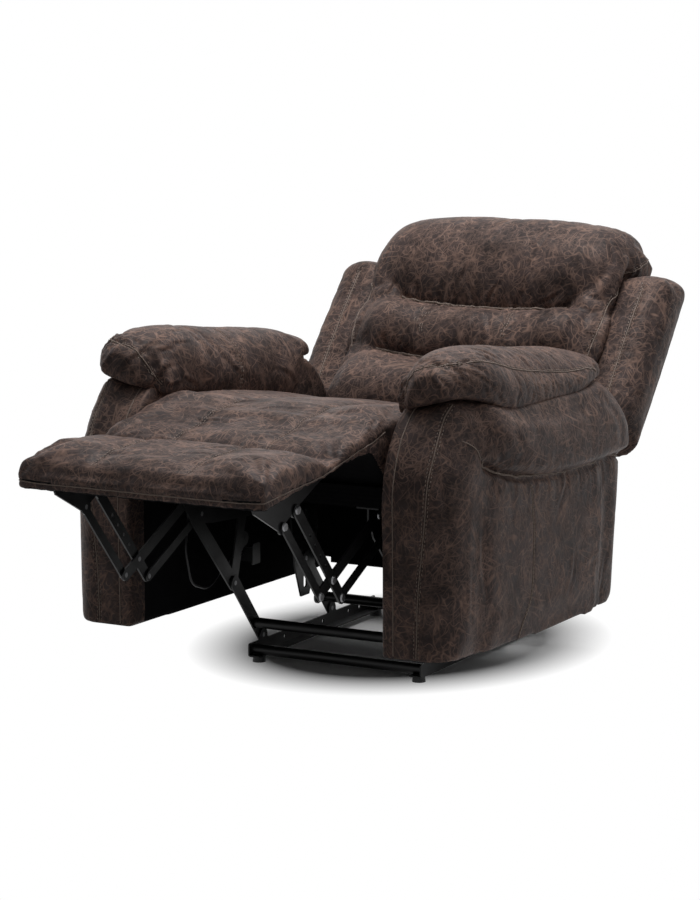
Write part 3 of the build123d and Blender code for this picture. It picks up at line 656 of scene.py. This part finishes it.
def tuck_line(tuck):
    place_up, sag, out = tuck
    xs = np.linspace(-TUCK_HALF, TUCK_HALF, 9)
    return [on_back(x, place_up - sag * (1 - (x / TUCK_HALF) ** 2), out) for x in xs]


SIDE_SEAM = ((252, -30), (299, -35), (351, -42), (408, -50), (467, -65), (521, -90), (578, -128), (608, -158))
SIDE_SEAM_X = 295
BACK_ROWS = (-112, 98)                         # x of the short double stitching on the middle cushion


def side_fillers():
    """Padding at the sides: over the ends of the tucks, and the head's rear corners above the wings."""
    corner_inner = ((500, -184), (500, -60), (560, -46), (604, -64), (622, -120), (618, -184))
    corner_outer = ((560, -184), (520, -72), (556, -64), (596, -88), (612, -132), (610, -184))
    corner_end = ((570, -178), (552, -112), (566, -106), (590, -118), (600, -146), (600, -178))
    fillers = []
    for _, sign in SIDES:
        for place_up, _, _ in TUCKS:
            rings = []
            for x, front, reach in ((205, -50, 40), (240, -24, 52), (272, -38, 52), (294, -48, 46)):
                outline = ((place_up - reach, -95), (place_up - reach, front - 8), (place_up, front),
                           (place_up + reach, front - 8), (place_up + reach, -95))
                rings.append([on_back(sign * x, *corner) for corner in outline])
            fillers.append(hull(rings))
        ends = ((262, corner_inner), (294, corner_outer), (307, corner_end))
        fillers.append(hull([[on_back(sign * x, *corner) for corner in outline] for x, outline in ends]))
    return fillers


def back_side_seam(sign):
    return [on_back(sign * SIDE_SEAM_X, *point) for point in SIDE_SEAM]


def shape_back(piece):
    """Curve the two tucks down at the middle."""
    co = coords(piece.data)
    along, out = back_frame_of(co)
    x = co[:, 0] / MM
    face = smooth(-110, -70, out)
    for place_up, sag, _ in TUCKS:
        curve = np.maximum(0, 1 - (x / (TUCK_HALF + 20)) ** 2)
        along = along - sag * curve * bell(along - place_up, 90) * face
    move_to(piece.data, from_back_frame(co[:, 0], along, out))


def make_back():
    piece = soft_form("back_cover", ("lumbar_cushion", "middle_cushion", "head_cushion"), side_fillers())
    shape_back(piece)
    co = coords(piece.data)
    along, out = back_frame_of(co)
    held = 1 - smooth(-112, -96, out)
    held = np.maximum(held, smooth(240, 262, np.abs(co[:, 0]) / MM) * (1 - smooth(200, 260, along)))
    for tuck in TUCKS:
        held = np.maximum(held, held_near(co, tuck_line(tuck), 5, 11))
    for _, sign in SIDES:
        held = np.maximum(held, held_near(co, back_side_seam(sign), 6, 14))
    hold(piece, held)
    return piece


def dress_back(piece):
    rows, seams = [], []
    for seed, tuck in enumerate(TUCKS):
        line = tuck_line(tuck)
        sewn = sew(piece, line, groove=8, width=7, gather=3.4, reach=36, seed=seed + 3)
        # the tuck's groove gets a wide dark strip of painted shade
        seams.append((sewn, TUCK_SHADE_HALF_WIDTH))
        gap, _ = nearest(coords(piece.data), *spline(line))
        crease(piece, gap < 34 * MM, (0.1, *UP_BACK), count=16, length=70, depth=3.2, width=5, seed=seed + 7)
    for _, sign in SIDES:
        line = back_side_seam(sign)
        sewn = sew(piece, line, groove=3.0, width=4, gather=1.6, reach=26, seed=13 + sign)
        seams.append((sewn, SEAM_SHADE_HALF_WIDTH))
        rows.append((line, 5 * sign))
    _, out = back_frame_of(coords(piece.data))
    crease(piece, out > -70, (0.15, *UP_BACK), count=26, length=90, depth=2.6, width=7, seed=11)
    for x in BACK_ROWS:
        middle = [on_back(x, up, 30) for up in (262, 300, 340, 376)]
        rows += [(middle, -3.2), (middle, 3.2)]
    stitching_and_shade = stitches_and_seam_shade("back_stitching_and_seam_shade", piece, rows, seams)
    carry(piece, stitching_and_shade, "back", 0.75, "lumbar_cushion", "middle_cushion", "head_cushion")


# The seat and footrest: one long cover, creased at the knee
CHANNELS = (-108, 98)                          # x of the two sewn channels
CREASE_AT = -143                               # depth of the crease between the seat and the footrest
BOARD_TOP = ((-400, -60), (495, 541))          # depths and heights along the footrest board's top
BOARD_HALF = 263                               # the board's half width and a little more
BOARD_COVER = 1                                # least cover over the board at the crease
LINED_HALF = 212                               # the seat's front is lined this far out and covered beyond it
# Outlines as (depth, height): the side seams, the top close to the sides, and the padding over the knee
EDGE = ((-395, 495), (-340, 500), (-279, 504), (-204, 509), (-154, 517), (-88, 530), (-8, 544), (55, 562))
EDGE_X = 267
EDGE_TOP = ((-418, 520), (-400, 533), (-371, 543), (-327, 550), (-287, 549), (-202, 541), (-142, 531),
            (-114, 542), (-60, 560), (6, 575), (51, 585), (100, 591))
EDGE_TOP_X = 245
BRIDGE = ((-78, 521), (-78, 548), (-33, 566), (8, 578), (50, 584), (70, 570), (70, 518), (0, 526))
BRIDGE_X = 263


def make_chaise():
    bridge = hull([[at(x, *corner) for corner in BRIDGE] for x in (-BRIDGE_X, BRIDGE_X)])
    piece = soft_form("seat_cover", ("seat_cushion", "footrest_pad", "footrest_board"), [bridge])
    co, no = coords(piece.data), normals(piece.data)
    depth = (co[:, 1] - FRONT) / MM
    held = 1 - smooth(-0.75, -0.35, no[:, 2])
    held = np.maximum(held, smooth(660, 690, depth))
    held = np.maximum(held, 0.6 * (1 - smooth(4, 10, np.abs(depth - CREASE_AT))))
    hold(piece, np.maximum(held, held_near(co, edge_seam(), 6, 14)))
    return piece


def fit_edge(piece):
    """Bring the cover's top near its sides to its outline."""
    co = coords(piece.data)
    x, depth, height = co[:, 0] / MM, (co[:, 1] - FRONT) / MM, co[:, 2] / MM
    lifts = []
    for place_at, target in EDGE_TOP:
        found = on_top(piece, -EDGE_TOP_X, (place_at,)) + on_top(piece, EDGE_TOP_X, (place_at,))
        rise = target - np.mean([point[2] for point in found]) / MM if found else 0
        lifts.append(np.clip(rise, -25, 25))
    lift = np.interp(depth, [point[0] for point in EDGE_TOP], lifts) * (1 - smooth(60, 140, depth))
    weight = np.maximum(smooth(40, 225, np.abs(x)), 0.8 * (1 - smooth(-385, -335, depth)))
    co[:, 2] += lift * weight * smooth(492, 520, height) * MM
    move_to(piece.data, co)


def edge_seam():
    """The seam round the cover's sides and front, over its band."""
    left = [at(-EDGE_X, *point) for point in reversed(EDGE)]
    right = [at(EDGE_X, *point) for point in EDGE]
    front = [at(x, -411, 493) for x in (-258, -160, 0, 160, 258)]
    return left + front + right


def on_top(piece, x, depths):
    """Points of a line along the cover's top at x."""
    tree = BVHTree.FromObject(piece, bpy.context.evaluated_depsgraph_get())
    line = []
    for depth in depths:
        start = Vector(at(x, depth, 800))
        spot, _, _, _ = tree.ray_cast(start, Vector((0, 0, -1)))
        if spot is not None:
            line.append(np.array(spot))
    return line


def fold_knee(piece):
    """Draw the cover in at its crease, with short gathers on both sides."""
    co, no = coords(piece.data), normals(piece.data)
    x, depth = co[:, 0] / MM, (co[:, 1] - FRONT) / MM
    off = depth - CREASE_AT - 6 * np.sin(x / 60)
    top = smooth(0.1, 0.5, no[:, 2])
    ridges = 6 * (bell(off - 65, 36) + bell(off + 65, 36))
    sink = 10 * bell(off, 24) + 5 * bell(off, 8)
    gathers = 2.2 * ripple(co[:, 0], 31) * np.exp(-np.abs(off) / 36) * (1 - bell(off, 8))
    lowest = np.interp(depth, *BOARD_TOP) + BOARD_COVER
    height = co[:, 2] / MM
    drawn = np.maximum(height + (gathers + ridges - sink) * top, np.minimum(height, lowest))
    over_board = (top > 0) & (np.abs(off) < 95) & (np.abs(x) < BOARD_HALF)
    drawn = np.where(over_board, np.maximum(drawn, lowest), drawn)
    co[:, 2] = np.where(top > 0, drawn, height) * MM
    move_to(piece.data, co)


def open_below(piece, centre, normal):
    """Faces that look down with nothing of the cover under them."""
    tree = BVHTree.FromObject(piece, bpy.context.evaluated_depsgraph_get())
    clear = normal[:, 2] < -0.55
    down = Vector((0, 0, -1))
    for i in np.nonzero(clear)[0]:
        clear[i] = tree.ray_cast(Vector(centre[i]) + down * MM, down)[0] is None
    return clear


def dress_chaise(piece):
    fit_edge(piece)
    long = list(range(-400, 640, 45))
    for seed, x in enumerate(CHANNELS):
        sew(piece, on_top(piece, x, long), groove=4.5, width=15)
        sew(piece, on_top(piece, x, long), groove=1.6, width=4, gather=1.8, reach=30, seed=seed + 21)
    fold_knee(piece)
    sewn = sew(piece, edge_seam(), groove=3.2, width=4, gather=1.4, reach=24, seed=33)
    top = normals(piece.data)[:, 2] > 0.7
    crease(piece, top, (1, 0.25, 0), count=26, length=110, depth=1.8, width=7, seed=5)
    crease(piece, top, (0.4, 1, 0), count=14, length=80, depth=1.8, width=6, seed=6)
    rows = []
    for x in CHANNELS:
        line = on_top(piece, x, long)
        rows += [(line, -3.5), (line, 3.5)]
    stitching_and_shade = stitches_and_seam_shade("seat_stitching_and_seam_shade", piece, rows, [(sewn, SEAM_SHADE_HALF_WIDTH)])

    def lined(centre, normal):
        depth = (centre[:, 1] - FRONT) / MM
        under = np.interp(depth, (-95, -8, 60), (510, 525, 545))
        front = (depth > -95) & (depth < 80) & (centre[:, 2] / MM < under)
        return open_below(piece, centre, normal) | front & (np.abs(centre[:, 0]) / MM < LINED_HALF)

    paint_lining(piece, lined)
    for part in (piece, stitching_and_shade):
        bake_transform(part)
    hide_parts("seat_cushion", "footrest_pad", "footrest_board")


# Arms, with their lines as (x, depth, height) on the left one
ARM_TUCK = ((398, 82, 545), (408, 112, 531), (419, 136, 506), (430, 175, 482), (440, 253, 458),
            (442, 317, 445), (443, 449, 429), (443, 551, 424), (441, 656, 423), (430, 765, 424),
            (408, 832, 412))
TUCK_FROM = 2                                  # point of the tuck at which its deep part begins
FRONT_SEAM = ((358, 4, 131), (362, 2, 254), (377, 1, 403), (381, 8, 480), (385, 22, 524), (385, 40, 556),
              (382, 72, 590), (384, 108, 611))
INNER_SEAM_X = 309
ARM_SIDE_SEAM = ((441, 340, 434), (441, 350, 397), (441, 352, 316), (440, 345, 216), (436, 314, 165),
                 (430, 292, 124))
ARM_LINED = (0.055, 0.40)                      # the inner side is lined behind and below these, in metres
ARM_FOOT = 0.2                                 # faces that look down are lined below this, in metres


def arm_line(sign, points):
    return [at(sign * x, depth, height) for x, depth, height in points]


def arm_tuck(sign):
    return arm_line(sign, ARM_TUCK)


def front_seam(sign):
    return arm_line(sign, FRONT_SEAM)


def inner_seam(sign):
    return arm_line(sign, [(INNER_SEAM_X, depth, height) for _, depth, height in FRONT_SEAM])


def side_seam(sign):
    return arm_line(sign, ARM_SIDE_SEAM)


def above_tuck(depth, height):
    """Height over the arm's tuck, in millimetres."""
    tuck = np.array(ARM_TUCK)
    return height - np.interp(depth, tuck[:, 1], tuck[:, 2])


def even_front(piece, sign):
    """Smooth the arm's side where it turns into the front, below the tuck."""
    co = coords(piece.data)
    x, depth, height = sign * co[:, 0] / MM, (co[:, 1] - FRONT) / MM, co[:, 2] / MM
    turning = smooth(395, 425, x) * smooth(15, 45, depth) * (1 - smooth(240, 290, depth))
    weights = turning * (1 - smooth(-40, -8, above_tuck(depth, height)))
    weigh(piece, "evened", weights, EVEN_LEVELS, EVEN_STEP)
    even = piece.modifiers.new("even", "SMOOTH")
    even.use_y = False
    even.use_z = False
    even.factor = 0.5
    even.iterations = 90
    even.vertex_group = "evened"
    apply_modifiers(piece)


def make_arm(side, sign):
    piece = soft_form(f"arm_side_{side}", (f"arm_cover_{side}", f"arm_frame_{side}"))
    even_front(piece, sign)
    co = coords(piece.data)
    x, height = sign * co[:, 0] / MM, co[:, 2] / MM
    held = np.maximum(1 - smooth(ARM_IN + 4, ARM_IN + 22, x), 1 - smooth(128, 150, height))
    for line in (arm_tuck(sign), front_seam(sign)):
        held = np.maximum(held, held_near(co, line, 7, 15))
    hold(piece, held)
    return piece


def puff_arm(piece, sign):
    """Round the panel above the tuck over it, and flatten the side below it."""
    co, no = coords(piece.data), normals(piece.data)
    depth, height = (co[:, 1] - FRONT) / MM, co[:, 2] / MM
    over = above_tuck(depth, height)
    outer = smooth(0.1, 0.5, sign * no[:, 0])
    span = smooth(105, 185, depth) * (1 - smooth(780, 838, depth)) * outer
    roll = 13 * smooth(-3, 26, over) * (1 - smooth(60, 150, over)) * span
    below = (1 - smooth(-3, 3, over)) * smooth(-110, -60, over)
    flat = np.maximum(0, sign * co[:, 0] / MM - 440) * below * outer
    co[:, 0] += sign * (roll - flat) * MM
    shoulder = bell(depth - 130, 80) * smooth(530, 604, height) * smooth(325, 375, sign * co[:, 0] / MM)
    co[:, 2] += 15 * shoulder * MM
    move_to(piece.data, co)


def dress_arm(piece, side, sign):
    puff_arm(piece, sign)
    tuck, front, outer = arm_tuck(sign), front_seam(sign), side_seam(sign)
    deep = sew(piece, tuck[TUCK_FROM:], groove=11, width=7, gather=1.2, reach=30, seed=41)
    sewn = [sew(piece, tuck[:TUCK_FROM + 1], groove=2.0, width=4)]
    sewn.append(sew(piece, front, groove=2.6, width=4, gather=0.5, reach=20, seed=43))
    sewn.append(sew(piece, inner_seam(sign), groove=1.8, width=4))
    sewn.append(sew(piece, outer, groove=2.0, width=4))
    # the deep tuck gets a wide dark strip of painted shade, the other seams narrow ones
    seams = [(deep, TUCK_SHADE_HALF_WIDTH)] + [(line, SEAM_SHADE_HALF_WIDTH) for line in sewn]
    facing_out = sign * normals(piece.data)[:, 0] > 0.6
    crease(piece, facing_out, (0, 0.3, 1), count=10, length=130, depth=1.8, width=9, seed=51)
    rows = [(front, -5), (front, 5), (outer, 3.5), (outer, -3.5)]
    stitching_and_shade = stitches_and_seam_shade(f"arm_stitching_and_seam_shade_{side}", piece, rows, seams)
    inner = ARM_IN * MM + 0.012
    lined_from, lined_below = ARM_LINED

    def lined(centre, normal):
        flank = (sign * centre[:, 0] < inner) & (sign * normal[:, 0] < -0.5)
        behind = (centre[:, 1] - FRONT > lined_from) & (centre[:, 2] < lined_below)
        return (flank & behind) | (normal[:, 2] < -0.7) & (centre[:, 2] < ARM_FOOT)

    paint_lining(piece, lined)
    carry(piece, stitching_and_shade, "body", 0.8, f"arm_cover_{side}", f"arm_frame_{side}")


# The arms' pads, with their lines as those of the arms
PAD_END_SEAM = ((270, 118, 606), (298, 104, 634), (326, 98, 663), (356, 92, 690), (392, 92, 709),
                (412, 118, 713))
PAD_SIDE_SEAM = ((412, 118, 713), (424, 200, 697), (428, 327, 665), (424, 516, 634), (404, 700, 607))
PAD_CROSS_SEAM = ((259, 405, 560), (262, 405, 636), (290, 405, 682), (340, 405, 693), (400, 405, 684))
PAD_LIFT = ((70, 110, 180, 290, 380, 490, 570, 700, 780),     # depths, and how far the top is raised there
            (18, 20, 12, -2, -8, -14, -20, -28, -26))
PAD_FLAP = ((112, 594), (200, 583), (300, 567), (420, 545), (530, 521), (600, 507), (640, 522), (676, 580))


def pad_flap(sign):
    """The pad's inner side, which hangs down to the seat, from its lower edge as (depth, height)."""
    rings = []
    for depth, low in PAD_FLAP:
        outline = ((300, 660), (272, 655), (259, 625), (257, low + 30), (263, low + 6), (274, low),
                   (288, low + 8), (300, 620))
        rings.append([at(sign * x, depth, height) for x, height in outline])
    return hull(rings)


def shape_pad(piece, sign):
    """Tilt the pad, droop its outer edge over the arm, and twist its front end up at the outer side."""
    co = coords(piece.data)
    x, depth, height = sign * co[:, 0] / MM, (co[:, 1] - FRONT) / MM, co[:, 2] / MM
    front = 1 - smooth(95, 230, depth)
    lower = 1 - smooth(625, 690, height)
    droop = 24 * smooth(392, 438, x) * smooth(150, 330, depth) * (1 - smooth(560, 760, depth))
    droop += 10 * (1 - smooth(266, 320, x)) * front
    raised = 22 * smooth(300, 410, x) * front * lower
    tilt = np.interp(depth, *PAD_LIFT) * smooth(605, 690, height)
    co[:, 2] += (raised + tilt - droop) * MM
    move_to(piece.data, co)


def make_pad(side, sign):
    piece = soft_form(f"arm_pillow_{side}", (f"arm_pad_{side}",), [pad_flap(sign)])
    shape_pad(piece, sign)
    co, no = coords(piece.data), normals(piece.data)
    held = 1 - smooth(-0.8, -0.4, no[:, 2])
    for points in (PAD_END_SEAM, PAD_SIDE_SEAM):
        held = np.maximum(held, held_near(co, arm_line(sign, points), 7, 14))
    hold(piece, held)
    return piece


def dress_pad(piece, side, sign):
    end, outer, cross = (arm_line(sign, line) for line in (PAD_END_SEAM, PAD_SIDE_SEAM, PAD_CROSS_SEAM))
    sewn = [sew(piece, end, groove=6, width=6, gather=3.2, reach=46, seed=61)]
    sewn.append(sew(piece, outer, groove=2.4, width=5, gather=1.0, reach=25, seed=63))
    sew(piece, cross, groove=2.2, width=5, gather=0.6, reach=22, seed=65)
    co, no = coords(piece.data), normals(piece.data)
    depth = (co[:, 1] - FRONT) / MM
    front = (depth < 235) & (no[:, 2] > -0.2)
    corner = front & (sign * co[:, 0] / MM > 360)
    top = (depth > 260) & (no[:, 2] > 0)
    crease(piece, front, (0.5 * sign, 1, -0.3), count=22, length=75, depth=2.2, width=6, seed=71)
    crease(piece, corner, (0.2 * sign, 0.7, -0.8), count=8, length=50, depth=1.8, width=6, seed=72)
    crease(piece, top, (sign, 0.4, 0.2), count=8, length=100, depth=1.8, width=8, seed=73)
    rows = [(end, -5), (end, 5), (outer, 4), (cross, -3.5), (cross, 3.5)]
    stitching_and_shade = stitches_and_seam_shade(f"pillow_stitching_and_seam_shade_{side}", piece, rows, [(line, SEAM_SHADE_HALF_WIDTH) for line in sewn])
    carry(piece, stitching_and_shade, "body", 0.7, f"arm_pad_{side}")


# Wings
def wing_seam(sign):
    return [on_back(sign * 352, up, -66) for up in (140, 220, 300, 380, 460, 492)]


def make_wing(side, sign):
    piece = soft_form(f"wing_cover_{side}", (f"wing_{side}",))
    co = coords(piece.data)
    _, out = back_frame_of(co)
    x = sign * co[:, 0] / MM
    held = np.maximum(1 - smooth(288, 300, x), 1 - smooth(-176, -160, out))
    hold(piece, np.maximum(held, held_near(co, wing_seam(sign), 7, 15)))
    return piece


def dress_wing(piece, side, sign):
    seam = wing_seam(sign)
    sewn = sew(piece, seam, groove=3.0, width=5, gather=0.8, reach=25, seed=81)
    rows = [(seam, 4.5), (seam, -4.5)]
    stitching_and_shade = stitches_and_seam_shade(f"wing_stitching_and_seam_shade_{side}", piece, rows, [(sewn, SEAM_SHADE_HALF_WIDTH)])
    carry(piece, stitching_and_shade, "back", 0.8, f"wing_{side}")


def upholster():
    back, chaise = make_back(), make_chaise()
    arms = [(make_arm(side, sign), side, sign) for side, sign in SIDES]
    pads = [(make_pad(side, sign), side, sign) for side, sign in SIDES]
    wings = [(make_wing(side, sign), side, sign) for side, sign in SIDES]
    padded = [(back, *PUSH["back"]), (chaise, *PUSH["seat"])]
    for kind, group in (("arm", arms), ("wing", wings), ("pad", pads)):
        padded += [(piece, *PUSH[kind]) for piece, _, _ in group]
    inflate(padded)
    for piece, _, _ in padded:
        finish_cover(piece)
    dress_back(back)
    dress_chaise(chaise)
    for piece, side, sign in arms:
        dress_arm(piece, side, sign)
    for piece, side, sign in pads:
        dress_pad(piece, side, sign)
    for piece, side, sign in wings:
        dress_wing(piece, side, sign)


# Cloth that closes the chair's rear between the dust cover and the arms
CURTAIN = (209, 281)                           # from the dust cover's edge to the arm
CURTAIN_AT = 745
CURTAIN_HEIGHTS = (150, 395)
CURTAIN_COLUMNS, CURTAIN_ROWS = 13, 25
CURTAIN_WAVE, CURTAIN_THICK = 2.5, 0.8


def hang_curtains():
    (inner, outer), (low, high) = CURTAIN, CURTAIN_HEIGHTS
    for side, sign in SIDES:
        mesh = bmesh.new()
        rows = []
        for height in np.linspace(low, high, CURTAIN_ROWS):
            slack = CURTAIN_WAVE * sin(pi * (height - low) / (high - low))
            row = []
            for x in np.linspace(inner, outer, CURTAIN_COLUMNS):
                wave = slack * sin(2 * pi * (x - inner) / 40 + height / 60)
                row.append(mesh.verts.new(at(sign * x, CURTAIN_AT + wave, height)))
            rows.append(row)
        for one, other in zip(rows, rows[1:]):
            for i in range(1, len(one)):
                mesh.faces.new((one[i - 1], one[i], other[i], other[i - 1]))
        data = bpy.data.meshes.new(f"rear_curtain_{side}")
        mesh.to_mesh(data)
        mesh.free()
        data.shade_smooth()
        piece = place(f"rear_curtain_{side}", data, LINING)
        thickness = piece.modifiers.new("cloth", "SOLIDIFY")
        thickness.thickness = CURTAIN_THICK * MM
        apply_modifiers(piece)
        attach(piece, "body")


# Stage
WHITE = (1, 1, 1, 1)
FLOOR_HALF = 30.0
FLOOR_DROP = 0.0005
FLOOR_DIM, FLOOR_PALE = (0.30, 0.30, 0.30, 1), (0.92, 0.92, 0.92, 1)   # as it lights the chair, and as seen
SHADOW_MIDDLE = (-0.02, 0.24, 0.0)             # the floor shows its shading about here, in metres
SHADOW_SIZE = (0.36, 0.43, 1.0)
SHADOW_FADE = (0.82, 1.22)                     # shares of that size between which it fades
WORLD_STRENGTH = 0.14
# Lamps: name, place, what it points at, width in metres, power in watts
LAMPS = (("top", (0.1, 0.6, 4.2), (0, 0.1, 0.4), 2.2, 142),
         ("key", (-4.0, -1.25, 2.9), (0, 0, 0.5), 1.8, 14),
         ("fill", (3.8, 0.4, 2.2), (0, 0, 0.5), 2.4, 11))


def shown_rays(tree):
    """1 for rays that show the background: from the camera, and by reflection or through glass."""
    path = add(tree, "ShaderNodeLightPath").outputs
    mirrored = calc(tree, "MAXIMUM", path["Is Glossy Ray"], path["Is Transmission Ray"])
    return calc(tree, "MAXIMUM", path["Is Camera Ray"], mirrored)


def make_floor():
    """A pale floor that fades to plain white, as seen by the camera, away from the chair."""
    mesh = bpy.data.meshes.new("floor")
    corners = [(FLOOR_HALF * x, FLOOR_HALF * y, 0) for x, y in ((-1, -1), (1, -1), (1, 1), (-1, 1))]
    mesh.from_pydata(corners, [], [(0, 1, 2, 3)])
    material, tree, bsdf = new_material("studio_floor")
    seen = shown_rays(tree)
    feed(tree, bsdf, {
        "Base Color": mix_colour(tree, seen, FLOOR_DIM, FLOOR_PALE),
        "Roughness": 0.9,
        "Specular IOR Level": 0.1,
    })
    inputs = {"Vector": object_coords(tree), "Location": SHADOW_MIDDLE, "Scale": SHADOW_SIZE}
    around = add(tree, "ShaderNodeMapping", inputs, vector_type="TEXTURE").outputs[0]
    far = ramp(tree, vector_math(tree, "LENGTH", {0: around}, "Value"), *SHADOW_FADE)
    faded = calc(tree, "MULTIPLY", far, seen)
    white = add(tree, "ShaderNodeEmission", {"Color": WHITE, "Strength": 1.0}).outputs[0]
    blend = add(tree, "ShaderNodeMixShader", {0: faded, 1: bsdf.outputs[0], 2: white}).outputs[0]
    feed(tree, tree.nodes["Material Output"], {"Surface": blend})
    floor = place("floor", mesh, material)
    floor.location.z = -FLOOR_DROP


def make_world():
    world = bpy.data.worlds.new("studio")
    bpy.context.scene.world = world
    world.use_nodes = True
    tree = world.node_tree
    tree.nodes.clear()
    soft = add(tree, "ShaderNodeBackground", {"Color": WHITE, "Strength": WORLD_STRENGTH}).outputs[0]
    white = add(tree, "ShaderNodeBackground", {"Color": WHITE, "Strength": 1.0}).outputs[0]
    shown = add(tree, "ShaderNodeMixShader", {0: shown_rays(tree), 1: soft, 2: white}).outputs[0]
    add(tree, "ShaderNodeOutputWorld", {"Surface": shown})


def area_light(name, where, target, size, power):
    data = bpy.data.lights.new(name, "AREA")
    data.shape = "DISK"
    data.size = size
    data.energy = power
    lamp = bpy.data.objects.new(name, data)
    bpy.context.scene.collection.objects.link(lamp)
    lamp.location = where
    lamp.rotation_euler = (Vector(target) - Vector(where)).to_track_quat("-Z", "Y").to_euler()


def make_camera():
    data = bpy.data.cameras.new("camera")
    data.lens = LENS
    data.sensor_width = 36
    data.sensor_fit = "AUTO"
    camera = bpy.data.objects.new("camera", data)
    bpy.context.scene.collection.objects.link(camera)
    camera.location = at(*CAMERA_AT)
    aim = Vector(at(*CAMERA_TARGET)) - camera.location
    camera.rotation_euler = aim.to_track_quat("-Z", "Y").to_euler()
    bpy.context.scene.camera = camera


finish_nodes()
upholster()
hang_curtains()
make_floor()
make_world()
for lamp in LAMPS:
    area_light(*lamp)
make_camera()
bpy.context.scene.view_settings.view_transform = "Standard"
